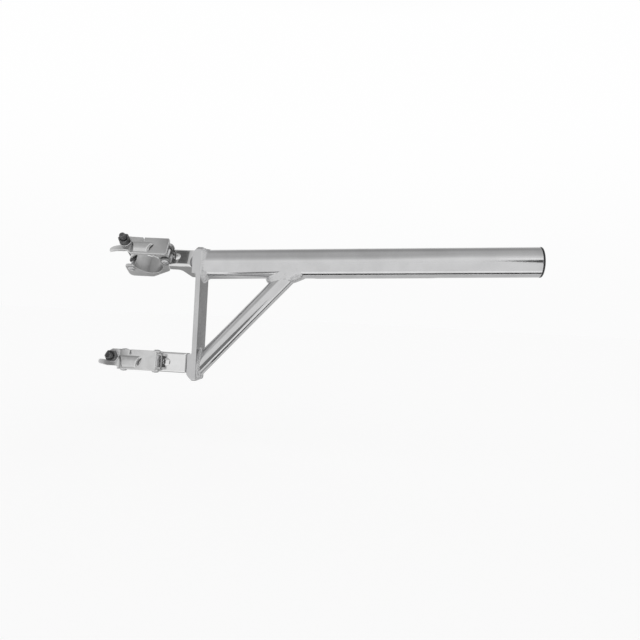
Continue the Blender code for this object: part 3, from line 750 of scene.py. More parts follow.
def block(name, low, high):
    """A box between two corners, used to join or cut."""
    shape = bmesh.new()
    bmesh.ops.create_cube(shape, size=1.0)
    low = Vector(low)
    high = Vector(high)
    for corner in shape.verts:
        corner.co = Vector(((corner.co.x + 0.5) * (high.x - low.x) + low.x,
                            (corner.co.y + 0.5) * (high.y - low.y) + low.y,
                            (corner.co.z + 0.5) * (high.z - low.z) + low.z))
    return mesh_object(name, shape)


def pipe_direction():
    """The way the pipe points."""
    rise = arm_sizes().pipe_rise
    return Vector((math.cos(rise), 0, math.sin(rise)))


def pipe_start():
    """Where the pipe's axis meets the bar's face."""
    return Vector((arm_sizes().bar_thickness, 0, PIVOT_HEIGHT))


def brace_direction():
    """The way the brace points, from the bar up to the pipe."""
    angle = arm_sizes().pipe_rise + arm_sizes().brace_angle
    return Vector((math.cos(angle), 0, math.sin(angle)))


def brace_start():
    """Where the brace's axis meets the bar's face."""
    return Vector((arm_sizes().bar_thickness, 0, arm_sizes().brace_foot))


def across(direction, angle, radius):
    """An offset at right angles to a direction that lies in the XZ plane."""
    upward = Vector((-direction.z, 0, direction.x))
    return (FORWARD * math.cos(angle) + upward * math.sin(angle)) * radius


def at_bar(start, direction, offset, margin):
    """How far along a tube the wall at an offset comes within a margin of the bar."""
    return (arm_sizes().bar_thickness + margin - start.x - offset.x) / direction.x


def at_pipe(offset, margin):
    """How far along the brace the wall at an offset comes within a margin of the pipe."""
    along = pipe_direction()
    start = brace_start() + offset - pipe_start()
    heading = brace_direction()
    start -= along * start.dot(along)
    heading -= along * heading.dot(along)
    reach = arm_sizes().pipe_diameter / 2 + margin
    a = heading.dot(heading)
    b = 2 * heading.dot(start)
    c = start.dot(start) - reach * reach
    return (-b - math.sqrt(max(b * b - 4 * a * c, 0.0))) / (2 * a)


def tube(name, start, direction, radius, wall, first, last, sides, rows):
    """An open tube whose ends follow functions of the wall's offset."""
    shape = bmesh.new()
    walls = []
    for reach in (radius, radius - wall):
        lines = []
        for side in range(sides):
            offset = across(direction, 2 * math.pi * side / sides, reach)
            near = first(offset)
            far = last(offset)
            reaches = [near, *np.linspace(near + CLOSE_ROW, far - CLOSE_ROW, rows - 1), far]
            lines.append([shape.verts.new(start + offset + direction * distance)
                          for distance in reaches])
        walls.append(lines)
    outer, inner = walls
    for side in range(sides):
        after = (side + 1) % sides
        for lines in walls:
            for row in range(rows):
                shape.faces.new([lines[side][row], lines[after][row], lines[after][row + 1],
                                 lines[side][row + 1]])
        for row in (0, rows):
            shape.faces.new([outer[side][row], outer[after][row], inner[after][row],
                             inner[side][row]])
    bmesh.ops.recalc_face_normals(shape, faces=shape.faces)
    return mesh_object(name, shape)


def new_geometry(name, inputs):
    """The maker of a new geometry tree's nodes, and its named inputs as values."""
    tree = bpy.data.node_groups.new(name, "GeometryNodeTree")
    sockets = {"Geometry": "NodeSocketGeometry", **inputs, "Material": "NodeSocketMaterial"}
    for label, kind in sockets.items():
        tree.interface.new_socket(label, in_out="INPUT", socket_type=kind)
    tree.interface.new_socket("Geometry", in_out="OUTPUT", socket_type="NodeSocketGeometry")
    maker = NodeMaker(tree)
    start = tree.nodes.new("NodeGroupInput")
    return maker, {label: Value(maker, start.outputs[label]) for label in sockets}


def end_geometry(maker, geometry, material):
    """Ends a geometry tree with plain geometry in its material."""
    real = maker.node("GeometryNodeRealizeInstances", {}, {"Geometry": geometry})
    painted = maker.node("GeometryNodeSetMaterial", {}, {"Geometry": real, "Material": material})
    end = maker.tree.nodes.new("NodeGroupOutput")
    maker.feed(end.inputs["Geometry"], painted)
    return maker.tree


def weld_tree():
    """The tree that lays ripples along a weld.

    The weld's points carry how far along the seam they lie, how far across it,
    and how much of a ripple they take.
    """
    tree = bpy.data.node_groups.get("weld_ripples")
    if tree:
        return tree
    maker, given = new_geometry("weld_ripples", {
        "Ripples": "NodeSocketInt", "Depth": "NodeSocketFloat", "Bow": "NodeSocketFloat",
        "Seed": "NodeSocketFloat"})
    along, aside, share = [
        maker.node("GeometryNodeInputNamedAttribute", {"data_type": "FLOAT"}, {"Name": name},
                   output="Attribute") for name in ("along", "aside", "share")]
    noise = maker.node("ShaderNodeTexNoise", {"noise_dimensions": "4D"},
                       {"Scale": 140.0, "Detail": 2.0, "W": given["Seed"]})
    phase = along * given["Ripples"] + aside * aside * given["Bow"] + noise
    height = abs((phase * math.pi).sine()) + noise - 1.1
    push = maker.node("ShaderNodeVectorMath", {"operation": "SCALE"}, {
        0: maker.node("GeometryNodeInputNormal"), "Scale": height * share * given["Depth"]})
    moved = maker.node("GeometryNodeSetPosition", {}, {"Geometry": given["Geometry"],
                                                       "Offset": push})
    return end_geometry(maker, moved, given["Material"])


def thread_tree():
    """The tree that winds a screw thread round a shank."""
    tree = bpy.data.node_groups.get("screw_thread")
    if tree:
        return tree
    maker, given = new_geometry("screw_thread", {
        "Radius": "NodeSocketFloat", "Pitch": "NodeSocketFloat", "Turns": "NodeSocketFloat"})
    spiral = maker.node("GeometryNodeCurveSpiral", {}, {
        "Resolution": 32, "Rotations": given["Turns"], "Start Radius": given["Radius"],
        "End Radius": given["Radius"], "Height": given["Pitch"] * given["Turns"]})
    ridge = maker.node("GeometryNodeCurvePrimitiveCircle", {"mode": "RADIUS"}, {
        "Resolution": 4, "Radius": given["Pitch"] * THREAD_RIDGE})
    wound = maker.node("GeometryNodeCurveToMesh", {}, {
        "Curve": spiral, "Profile Curve": ridge, "Fill Caps": True})
    return end_geometry(maker, wound, given["Material"])


def grown(piece, tree, values):
    """The plain mesh that a geometry tree makes from a piece, with its inputs by name."""
    step = piece.modifiers.new(tree.name, "NODES")
    step.node_group = tree
    for socket in tree.interface.items_tree:
        if socket.in_out == "INPUT" and socket.name in values:
            step[socket.identifier] = values[socket.name]
    return settle(piece)


def weld(name, sections, bulge, depth, seed):
    """A rippled weld along a closed seam, from its corner and its two feet at each step."""
    points = 9
    shape = bmesh.new()
    along, aside, share = [shape.verts.layers.float.new(layer)
                           for layer in ("along", "aside", "share")]
    rows = []
    for index, (corner, first, last) in enumerate(sections):
        row = [shape.verts.new(corner)]
        middle = (first + last) / 2
        pull = middle + (middle - corner) * bulge
        for step in range(points):
            part = step / (points - 1)
            row.append(shape.verts.new(first.lerp(pull, part).lerp(pull.lerp(last, part), part)))
            row[-1][share] = math.sin(math.pi * part) ** 0.5
            row[-1][aside] = part * 2 - 1
        for point in row:
            point[along] = index / len(sections)
        rows.append(row)
    for index, row in enumerate(rows):
        after = rows[(index + 1) % len(rows)]
        for step in range(points + 1):
            follow = (step + 1) % (points + 1)
            shape.faces.new([row[step], row[follow], after[follow], after[step]])
    bmesh.ops.recalc_face_normals(shape, faces=shape.faces)
    length = sum((a[1] - b[1]).length for a, b in zip(sections, sections[1:]))
    piece = grown(mesh_object(name, shape), weld_tree(), {
        "Ripples": int(length / arm_sizes().weld_ripple), "Depth": depth, "Bow": 0.5,
        "Seed": seed, "Material": finish("bright_weld")})
    return smooth(piece, limit=70.0)


def at_clamp(piece, side):
    """Moves a mesh made in a clamp's own directions to its place on the bar."""
    height = PIVOT_HEIGHT if side == "upper" else -PIVOT_HEIGHT
    piece.data.transform(Matrix.Translation((0, 0, height))
                         @ Matrix.Rotation(-TILT[side], 4, "X"))
    piece.data.update()
    return piece


def at_jaws(piece, side):
    """Moves a mesh made round a clamp's jaws to its place."""
    piece.data.transform(Matrix.Translation((-EXTRA_REACH[side], 0, 0)))
    return at_clamp(piece, side)


def spot(reach, front, height=0.0):
    """A place in a clamp's own directions."""
    return Vector((-reach, -front, height))


def plan_place(u, v, w):
    """From (reach, front, height) to a clamp's own directions."""
    return (-u, -v, w)


def face_place(u, v, w):
    """From (reach, height, front) to a clamp's own directions."""
    return (-u, -w, v)


def saddle(name, start, end, half, thick):
    """A gripping band, as a closed ring sector along the gripped tube."""
    outline = (arc(CHORD, JAW_RADIUS + thick, start, end, 48)
               + arc(CHORD, JAW_RADIUS, end, start, 48))
    return plate(name, outline, -half, half, plan_place)


def hexagon_nut(name, base, direction, hole, flats, thickness):
    """A hexagon nut with chamfered corners."""
    sides = 96
    flat = flats / 2
    face = flat * 0.96
    rim = 0.0006
    chamfer = math.tan(math.radians(28.0))
    aim = aimed(direction)
    base = Vector(base)
    shape = bmesh.new()
    rows = []
    for side in range(sides):
        angle = 2 * math.pi * side / sides
        corner = flat / math.cos((angle % (math.pi / 3)) - math.pi / 6)
        drop = (corner - face) * chamfer
        profile = [(hole, rim), (hole + rim, 0), (face, 0), (corner, drop),
                   (corner, thickness - drop), (face, thickness), (hole + rim, thickness),
                   (hole, thickness - rim)]
        rows.append([shape.verts.new(base + aim @ Vector((
            radius * math.cos(angle), radius * math.sin(angle), distance)))
            for radius, distance in profile])
    for side in range(sides):
        first = rows[side]
        second = rows[(side + 1) % sides]
        for index in range(len(first)):
            after = (index + 1) % len(first)
            shape.faces.new([first[index], first[after], second[after], second[index]])
    bmesh.ops.recalc_face_normals(shape, faces=shape.faces)
    return smooth(mesh_object(name, shape), limit=24.0)


def washer(name, base, direction, hole):
    """A flat washer with rolled edges."""
    edge = WASHER_THICKNESS * 0.3
    profile = [(hole, edge), (hole + edge, 0), (WASHER_RADIUS - edge, 0), (WASHER_RADIUS, edge),
               (WASHER_RADIUS, WASHER_THICKNESS - edge), (WASHER_RADIUS - edge, WASHER_THICKNESS),
               (hole + edge, WASHER_THICKNESS), (hole, WASHER_THICKNESS - edge)]
    return smooth(turned(name, profile, base, direction, sides=72, closed=True), limit=50.0)


def threaded(name, shank, base, direction, radius, start, end):
    """Adds a screw thread to a shank, between two distances along it."""
    pitch = clamp_sizes().thread_pitch
    ridge = bpy.data.objects.new(name + "_ridge", bpy.data.meshes.new(name + "_ridge"))
    bpy.context.scene.collection.objects.link(ridge)
    grown(ridge, thread_tree(), {
        "Radius": radius - pitch * THREAD_SUNK, "Pitch": pitch, "Turns": (end - start) / pitch,
        "Material": finish("turned_steel")})
    ridge.data.transform(Matrix.Translation(
        Vector(base) + Vector(direction).normalized() * start) @ aimed(direction).to_4x4())
    shape = bmesh.new()
    shape.from_mesh(ridge.data)
    bmesh.ops.recalc_face_normals(shape, faces=shape.faces)
    shape.to_mesh(ridge.data)
    shape.free()
    return joined(name, [shank, ridge])


class LIGHTING_PIPE_OT_pipe(bpy.types.Operator):
    """Makes the polished pipe that takes the lamps"""

    bl_idname = "lighting_pipe.pipe"
    bl_label = "Pipe"

    def execute(self, context):
        sizes = arm_sizes()
        start = pipe_start()
        direction = pipe_direction()
        pipe = tube("lamp_pipe", start, direction, sizes.pipe_diameter / 2, sizes.pipe_wall,
                    lambda offset: at_bar(start, direction, offset, GAP),
                    lambda offset: sizes.pipe_length, sides=192, rows=24)
        rounded_edges(pipe, width=0.0003, segments=2)
        smooth(pipe)
        finished(pipe, "polished_pipe", "arm", ["main_pipe"])
        return {"FINISHED"}


class LIGHTING_PIPE_OT_cap(bpy.types.Operator):
    """Makes the black cap in the pipe's free end"""

    bl_idname = "lighting_pipe.cap"
    bl_label = "End cap"

    def execute(self, context):
        sizes = arm_sizes()
        radius = sizes.pipe_diameter / 2
        bore = radius - sizes.pipe_wall - GAP
        edge = 0.0009
        dish = 0.0006
        dish_radius = radius * 0.72
        rim_radius = radius * 0.76
        skin = 0.002
        profile = [(0, CAP_FLANGE - dish), (dish_radius, CAP_FLANGE - dish),
                   (rim_radius, CAP_FLANGE)]
        for turn in (0.0, 0.4, 0.8, 1.2, math.pi / 2):
            profile.append((radius - edge + edge * math.sin(turn),
                            CAP_FLANGE - edge + edge * math.cos(turn)))
        profile += [(radius, GAP), (bore, 0), (bore, -CAP_PLUG + skin), (bore - dish, -CAP_PLUG),
                    (bore - skin, -CAP_PLUG), (bore - skin, 0), (0, 0)]
        end = pipe_start() + pipe_direction() * (sizes.pipe_length + GAP)
        cap = turned("pipe_cap", profile, end, pipe_direction(), sides=128)
        smooth(cap, limit=40.0)
        finished(cap, "cap_plastic", "arm", ["pipe_end_cap"])
        return {"FINISHED"}


class LIGHTING_PIPE_OT_bar(bpy.types.Operator):
    """Makes the upright bar with its two countersunk holes"""

    bl_idname = "lighting_pipe.bar"
    bl_label = "Upright bar"

    def execute(self, context):
        sizes = arm_sizes()
        half = sizes.bar_width / 2
        tall = sizes.bar_height / 2
        outline = rounded([(y, z, sizes.bar_corner) for y, z in (
            (-half, -tall), (half, -tall), (half, tall), (-half, tall))], steps=12)
        bar = plate("upright_bar", outline, -BRACKET_BASE, sizes.bar_thickness,
                    lambda u, v, w: (w, u, v))
        side = plate("side", bar_side(tall), -half - GAP, half + GAP, lambda u, v, w: (u, w, v))
        fuse(bar, [side], "INTERSECT")
        fuse(bar, [pivot_shank("hole", height, GAP) for height in (PIVOT_HEIGHT, -PIVOT_HEIGHT)],
             "DIFFERENCE")
        rounded_edges(bar, sizes.bar_edge, segments=4)
        smooth(bar, limit=40.0)
        finished(bar, "rolled_bar", "arm", ["mounting_bar"])
        return {"FINISHED"}


def bar_side(tall):
    """The bar from its edge: a pad under each clamp and tapered ends, a little oversize."""
    back = arm_sizes().bar_thickness + GAP
    end = tall + GAP
    high = PIVOT_HEIGHT + HALF_WIDTH
    low = PIVOT_HEIGHT - HALF_WIDTH
    return rounded([(back, -end, 0), (back, end, 0), (TAPER_START, end, 0),
                    (-BAR_PAD, high, PAD_ROUND), (-BAR_PAD, low, 0), (0, low, PAD_ROUND),
                    (0, -low, PAD_ROUND), (-BAR_PAD, -low, 0), (-BAR_PAD, -high, PAD_ROUND),
                    (TAPER_START, -end, 0)])


class LIGHTING_PIPE_OT_brace(bpy.types.Operator):
    """Makes the brace, coped to the pipe and cut to the bar"""

    bl_idname = "lighting_pipe.brace"
    bl_label = "Brace"

    def execute(self, context):
        sizes = arm_sizes()
        start = brace_start()
        direction = brace_direction()
        brace = tube("diagonal_brace", start, direction, sizes.brace_diameter / 2,
                     sizes.brace_wall, lambda offset: at_bar(start, direction, offset, GAP),
                     lambda offset: at_pipe(offset, GAP), sides=128, rows=12)
        smooth(brace)
        finished(brace, "polished_brace", "arm", ["brace_tube"])
        return {"FINISHED"}


class LIGHTING_PIPE_OT_welds(bpy.types.Operator):
    """Lays the rippled weld beads round the pipe and at both ends of the brace"""

    bl_idname = "lighting_pipe.welds"
    bl_label = "Welds"

    def execute(self, context):
        sizes = arm_sizes()
        depth = sizes.weld_depth
        pipe_seam = seam_at_bar(pipe_start(), pipe_direction(), sizes.pipe_diameter / 2, 0.5)
        foot_seam = seam_at_bar(brace_start(), brace_direction(), sizes.brace_diameter / 2, 0.1)
        laid = (("weld_at_bar", "pipe_weld", pipe_seam, -0.25, depth),
                ("weld_at_foot", "brace_foot_weld", foot_seam, -0.2, depth),
                ("weld_at_head", "brace_head_weld", head_seam(), 0.10, depth * 0.3))
        for index, (name, node, seam, bulge, deep) in enumerate(laid):
            bead = weld(name, seam, bulge, deep, seed=index * 3.7)
            finished(bead, "bright_weld", "arm", [node])
        return {"FINISHED"}


def on_bar(point, outward, rise):
    """A weld's foot on the bar's face, kept within the bar."""
    sizes = arm_sizes()
    wide = sizes.bar_width / 2 + GAP
    tall = sizes.bar_height / 2 - GAP
    foot = point + Vector((0, outward.y, outward.z)).normalized() * rise
    return Vector((sizes.bar_thickness - GAP, min(max(foot.y, -wide), wide),
                   min(max(foot.z, -tall), tall)))


def seam_at_bar(start, direction, radius, longer):
    """Cross-sections of a weld between a tube and the bar, longer above and below the tube."""
    sizes = arm_sizes()
    sections = []
    for step in range(SEAM_STEPS):
        angle = 2 * math.pi * step / SEAM_STEPS
        outward = across(direction, angle, 1.0)
        edge = start + outward * radius
        edge += direction * at_bar(start, direction, outward * radius, 0.0)
        run = sizes.weld_run * (0.75 + longer * abs(math.sin(angle)))
        sections.append((edge - outward * WELD_ROOT - Vector((WELD_ROOT, 0, 0)),
                         on_bar(edge, outward, sizes.weld_rise), edge + direction * run))
    return sections


def head_seam():
    """Cross-sections of the weld between the brace and the pipe."""
    sizes = arm_sizes()
    start = brace_start()
    direction = brace_direction()
    radius = sizes.brace_diameter / 2
    rise = sizes.weld_rise * 1.15
    run = sizes.weld_run * 1.4
    sections = []
    for step in range(SEAM_STEPS):
        outward = across(direction, 2 * math.pi * step / SEAM_STEPS, 1.0)
        edge = start + outward * radius + direction * at_pipe(outward * radius, 0.0)
        wider = outward * (radius + rise)
        sections.append((edge - outward * WELD_ROOT + direction * WELD_ROOT,
                         start + wider + direction * at_pipe(wider, 0.0), edge - direction * run))
    return sections


def pivot_seat():
    """How far behind the bar's thin middle the pivot's washer sits."""
    return BRACKET_BASE + clamp_sizes().plate + GAP


def pivot_tip():
    """How far behind the bar's thin middle the pivot bolt ends."""
    return pivot_seat() + WASHER_THICKNESS + clamp_sizes().nut_thickness + SCREW_TIP


def pivot_shank(name, height, margin):
    """The countersunk pivot bolt's body or, where it has a margin, the hole for it."""
    face = arm_sizes().bar_thickness
    length = pivot_tip() + GAP
    shank = PIVOT_RADIUS + margin
    head = PIVOT_HEAD + margin
    chamfer = 0.0007
    edge = 0.0004
    over = 0.001
    if margin:
        top = [(0, face + over), (head, face + over), (head, face)]
    else:
        top = [(0, face), (head - edge, face), (head, face - edge)]
    profile = top + [(shank, face - PIVOT_SUNK), (shank, -length + chamfer),
                     (shank - chamfer, -length), (0, -length)]
    return turned(name, profile, (0, 0, height), (1, 0, 0))


class LIGHTING_PIPE_OT_pivots(bpy.types.Operator):
    """Makes the bolts, washers and nuts on which the clamps turn"""

    bl_idname = "lighting_pipe.pivots"
    bl_label = "Clamp pivots"

    def execute(self, context):
        sizes = clamp_sizes()
        radius = sizes.bolt_diameter / 2
        hole = radius + GAP
        seat = pivot_seat()
        nut_seat = seat + WASHER_THICKNESS + GAP
        backward = (-1, 0, 0)
        plain_end = 0.0015
        key_floor = 0.004
        for side in SIDES:
            bolt = pivot_shank(side + "_pivot_screw", height=0.0, margin=0.0)
            key = hexagon_nut("key", (key_floor, 0, 0), (1, 0, 0), hole=0.0001, flats=0.006,
                              thickness=0.01)
            fuse(bolt, [key], "DIFFERENCE")
            bolt = threaded(side + "_pivot_screw", smooth(bolt), (0, 0, 0), backward, radius,
                            seat + plain_end, pivot_tip() - plain_end)
            ring_piece = washer(side + "_pivot_ring", (-seat, 0, 0), backward, hole)
            nut = hexagon_nut(side + "_pivot_hexagon", (-nut_seat, 0, 0), backward, hole,
                              sizes.nut_flats, sizes.nut_thickness)
            for piece, node in ((bolt, "pivot_bolt"), (ring_piece, "pivot_washer"),
                                (nut, "pivot_nut")):
                finished(at_clamp(piece, side), "turned_steel", "arm", [side + "_" + node])
        return {"FINISHED"}


class LIGHTING_PIPE_OT_brackets(bpy.types.Operator):
    """Makes the bright channel brackets between the bar and the jaws"""

    bl_idname = "lighting_pipe.brackets"
    bl_label = "Swivel brackets"

    def execute(self, context):
        for side in SIDES:
            bracket = channel_bracket(side + "_channel", EXTRA_REACH[side])
            finished(at_clamp(bracket, side), "bright_plating", side + "_clamp_body",
                     [side + "_swivel_bracket"])
        return {"FINISHED"}


def channel_bracket(name, extra):
    """A pressed channel: base, web and two tapering flanges with round bends."""
    sizes = clamp_sizes()
    base = BRACKET_BASE
    reach = BRACKET_REACH + extra
    waist = 0.029 + extra
    back = -0.016
    tip_back = WEB_FRONT - 0.014
    bend = 0.0042
    outline = rounded([(base, back, 0.002), (base, WEB_FRONT, 0.0085),
                       (reach, WEB_FRONT, 0.0008), (reach, tip_back, 0.002),
                       (waist, tip_back, 0.012), (base + 0.0075, back, 0.004)])
    solid = plate("solid", outline, -HALF_WIDTH, HALF_WIDTH, plan_place)
    bends = []
    for way in (1, -1):
        middle = way * (HALF_WIDTH - bend)
        corner = block("bend", (-reach - bend, -WEB_FRONT - bend, middle),
                       (bend, -WEB_FRONT + bend, way * (HALF_WIDTH + bend)))
        round_bend = rod("round", (-reach - bend * 2, -WEB_FRONT + bend, middle),
                         (bend * 2, -WEB_FRONT + bend, middle), bend)
        bends.append(fuse(corner, [round_bend], "DIFFERENCE"))
    inner = HALF_WIDTH - sizes.plate
    pocket = block("pocket", (-reach - GAP, -WEB_FRONT + sizes.plate, -inner),
                   (-base - sizes.plate, -back + GAP, inner))
    rounded_edges(pocket, width=0.0025, segments=4)
    rivet = RIVET_REACH + extra
    holes = [rod("pivot_hole", (0, 0, 0), (-base - sizes.plate * 2, 0, 0),
                 sizes.bolt_diameter / 2 + GAP),
             rod("rivet_hole", spot(rivet, WEB_FRONT - sizes.plate - GAP),
                 spot(rivet, WEB_FRONT + GAP), PIN_RADIUS + GAP)]
    fuse(solid, bends + [pocket] + holes, "DIFFERENCE")
    return pressed(name, [solid], passes=3)


class LIGHTING_PIPE_OT_rear_jaws(bpy.types.Operator):
    """Makes the fixed jaws with their hinge ears and bolt lugs"""

    bl_idname = "lighting_pipe.rear_jaws"
    bl_label = "Rear jaws"

    def execute(self, context):
        for side in SIDES:
            jaw = rear_jaw(side + "_fixed_jaw", HINGE_SHADE[side])
            finished(at_jaws(jaw, side), "satin_plating", side + "_clamp_body",
                     [side + "_rear_jaw"])
        return {"FINISHED"}


def rear_jaw(name, hinge_shade):
    """Two side flanges, the gripping band between them, and the tail under the bracket."""
    sizes = clamp_sizes()
    lug = 0.010
    lug_reach = T_PIN[0] + lug
    lug_front = T_PIN[1] + lug
    lug_back = -0.020
    belly = CHORD[1] - JAW_RADIUS - sizes.band - 0.0075
    ear = 0.008
    ear_foot = WEB_FRONT + GAP
    near_ear = HINGE[0] - ear
    far_ear = HINGE[0] + ear
    edge = BRACKET_REACH + GAP * 3
    tail_back = TAIL_FRONT - sizes.plate
    outline = rounded([
        (lug_reach, lug_front, 0.006), (lug_reach, lug_back, 0.008), (CHORD[0], belly, 0.010),
        (edge, tail_back - 0.011, 0.006), (edge, ear_foot, 0), (near_ear, ear_foot, 0.0015),
        (near_ear, HINGE[1] + ear, ear * 0.98), (far_ear, HINGE[1] + ear, ear * 0.98),
        (far_ear, HINGE[1], 0), (CHORD[0], HINGE[1], 0), (CHORD[0], lug_front, 0)])
    cutouts = [ring(CHORD, JAW_RADIUS, steps=96), ring(HINGE, PIN_RADIUS + GAP),
               ring(T_PIN, PIN_RADIUS + GAP)]
    inner = HALF_WIDTH - sizes.plate
    tail_start = 0.022
    tail_end = CHORD[0] - JAW_RADIUS - sizes.band / 2
    tail = block("tail", spot(tail_end, TAIL_FRONT, -inner + GAP),
                 spot(tail_start, tail_back, inner - GAP))
    rivet_hole = rod("rivet_hole", spot(RIVET_REACH, tail_back - GAP),
                     spot(RIVET_REACH, TAIL_FRONT + GAP), PIN_RADIUS + GAP)
    solids = [plate("flange", outline, inner, HALF_WIDTH, plan_place, cutouts),
              plate("flange", outline, -HALF_WIDTH, -inner, plan_place, cutouts),
              saddle("saddle", 184.0, 322.0, HALF_WIDTH, sizes.band),
              saddle("lip", 318.0, 344.0, inner + GAP, 0.0021),
              fuse(tail, [rivet_hole], "DIFFERENCE"),
              block("shoulder", spot(tail_end, TAIL_FRONT, -HALF_WIDTH),
                    spot(edge, tail_back, HALF_WIDTH))]
    return pressed(name, solids, sizes.soften, hinge_shade)


class LIGHTING_PIPE_OT_front_jaws(bpy.types.Operator):
    """Makes the hinged jaws with their pressed rib, fork and tongue"""

    bl_idname = "lighting_pipe.front_jaws"
    bl_label = "Front jaws"

    def execute(self, context):
        for side in SIDES:
            jaw = front_jaw(side + "_hinged_jaw", HINGE_SHADE[side])
            finished(at_jaws(jaw, side), "satin_plating", side + "_jaw",
                     [side + "_front_jaw"])
        return {"FINISHED"}


def steps_between(low, high, value):
    """0 below low, 1 above high, and smooth between."""
    share = min(1.0, max(0.0, (value - low) / (high - low)))
    return share * share * (3 - 2 * share)


def jaw_front(reach):
    """How far forward the face of the front jaw lies: flat, then crowned round the bolt's pin."""
    flat = FRONT_INNER + clamp_sizes().front_plate
    offset = reach - T_PIN[0]
    if offset < CROWN_START:
        return flat
    crown = T_PIN[1] + math.sqrt(CROWN_RADIUS ** 2 - offset ** 2)
    if offset > CROWN_FULL:
        return crown
    return flat + (crown - flat) * (offset - CROWN_START) / (CROWN_FULL - CROWN_START)


def rib_rise(reach, height):
    """How far the pressed rib stands out of the face."""
    sizes = clamp_sizes()
    above = height - RIB_HEIGHT
    if abs(above) >= sizes.rib_radius:
        return 0.0
    near = RIB_NEAR_END + RIB_NEAR_SLANT * above
    far = RIB_FAR_END + RIB_FAR_SLANT * above
    along = (steps_between(near, near + RIB_NEAR_EDGE, reach)
             * (1 - steps_between(far, far + RIB_FAR_EDGE, reach)))
    return sizes.rib_proud * math.sqrt(1 - (above / sizes.rib_radius) ** 2) * along


def rib_opening():
    """The slanting oval opening beside the rib's near end, as (reach, height) points."""
    points = []
    for step in range(36):
        turn = math.radians(step * 10)
        height = 0.0065 * math.sin(turn) - 0.003
        points.append((0.0705 + RIB_NEAR_SLANT * height + 0.0016 * math.cos(turn), height))
    return points


def front_jaw(name, hinge_shade):
    """The hinged jaw: a face pressed from sheet, the gripping band and two hinge lugs."""
    sizes = clamp_sizes()
    half = HALF_WIDTH - GAP * 2
    over = half + 0.001
    edge = HINGE[0] - 0.0065
    bolt = T_PIN[0]
    fork = sizes.bolt_diameter / 2 + 0.0007
    low = T_BOLT_HEIGHT - fork
    high = T_BOLT_HEIGHT + fork
    tongue_low = low - 0.010
    tip = bolt + 0.029
    outline = rounded([
        (edge, -half, 0.003), (edge, half, 0.003), (bolt + 0.002, half, 0.006),
        (bolt + 0.013, high, 0.002), (bolt - fork, high, 0.0052), (bolt - fork, low, 0.0052),
        (tip, low, 0.0034), (tip, tongue_low + 0.003, 0.0034), (bolt + 0.010, tongue_low, 0.006),
        (bolt - 0.006, tongue_low, 0.003), (bolt - 0.012, -half, 0.003)])
    near, far = SLIT
    slit = [(near, over), (near, SLIT_START), (far, SLIT_START), (far, over)]
    slit_end = ring(((near + far) / 2, SLIT_START), 0.0018, steps=24)
    face = plate("face", outline, lambda u, v: jaw_front(u) - sizes.front_plate,
                 lambda u, v: jaw_front(u) + rib_rise(u, v), face_place,
                 [rib_opening(), slit, slit_end], spacing=0.0008)
    lug_out = HALF_WIDTH - sizes.plate - GAP
    lug_in = lug_out - sizes.plate
    lug_front = FRONT_INNER + 0.001
    lug = (arc(HINGE, 0.007, 180.0, 320.0, 24)
           + [(CHORD[0] - JAW_RADIUS / 2, lug_front), (edge + 0.001, lug_front)])
    cutouts = [ring(CHORD, JAW_RADIUS, steps=96), ring(HINGE, PIN_RADIUS + GAP)]
    band = saddle("saddle", 32.0, 148.0, half - 0.0005, sizes.band)
    fuse(band, [block("slit", (-far, -0.06, SLIT_START - 0.001), (-near, -0.03, over))],
         "DIFFERENCE")
    solids = [face, band,
              plate("lug", lug, lug_in, lug_out, plan_place, cutouts),
              plate("lug", lug, -lug_out, -lug_in, plan_place, cutouts)]
    return pressed(name, solids, passes=4, hinge_shade=hinge_shade)


class LIGHTING_PIPE_OT_swing_bolts(bpy.types.Operator):
    """Makes the swing bolts with their thread and cross eye"""

    bl_idname = "lighting_pipe.swing_bolts"
    bl_label = "Swing bolts"

    def execute(self, context):
        sizes = clamp_sizes()
        radius = sizes.bolt_diameter / 2
        length = sizes.bolt_length
        core = radius - sizes.thread_pitch * 0.25
        bevel = 0.001
        eye_radius = 0.0075
        eye_half = 0.006
        through = 0.02
        plain_end = 0.0016
        for side in SIDES:
            profile = [(0, 0), (radius, 0), (radius, THREAD_START - bevel), (core, THREAD_START),
                       (core, length - bevel), (core - bevel, length), (0, length)]
            shank = turned("shank", profile, BOLT_BASE, FORWARD)
            eye = rod("eye", spot(*T_PIN, T_BOLT_HEIGHT - eye_half),
                      spot(*T_PIN, T_BOLT_HEIGHT + eye_half), eye_radius, sides=64)
            rounded_edges(eye, width=0.0008)
            hole = rod("pin_hole", spot(*T_PIN, -through), spot(*T_PIN, through),
                       PIN_RADIUS + GAP)
            fuse(shank, [eye])
            fuse(shank, [hole], "DIFFERENCE")
            bolt = threaded(side + "_eye_bolt", smooth(shank), BOLT_BASE, FORWARD, radius,
                            THREAD_START, length - plain_end)
            finished(at_jaws(bolt, side), "oiled_nut", side + "_bolt", [side + "_t_bolt"])
        return {"FINISHED"}


class LIGHTING_PIPE_OT_nuts(bpy.types.Operator):
    """Makes the dark nuts and the washers that close the jaws"""

    bl_idname = "lighting_pipe.nuts"
    bl_label = "Clamp nuts"

    def execute(self, context):
        sizes = clamp_sizes()
        seat = CROWN_RADIUS + GAP
        nut_seat = seat + WASHER_THICKNESS + GAP
        hole = sizes.bolt_diameter / 2 + GAP
        for side in SIDES:
            ring_piece = washer(side + "_clamp_ring", BOLT_BASE + FORWARD * seat, FORWARD, hole)
            finished(at_jaws(ring_piece, side), "turned_steel", side + "_washer",
                     [side + "_clamp_washer"])
            nut = hexagon_nut(side + "_clamp_hexagon", BOLT_BASE + FORWARD * nut_seat, FORWARD,
                              hole, sizes.nut_flats, sizes.nut_thickness)
            finished(at_jaws(nut, side), "oiled_nut", side + "_nut", [side + "_clamp_nut"])
        return {"FINISHED"}


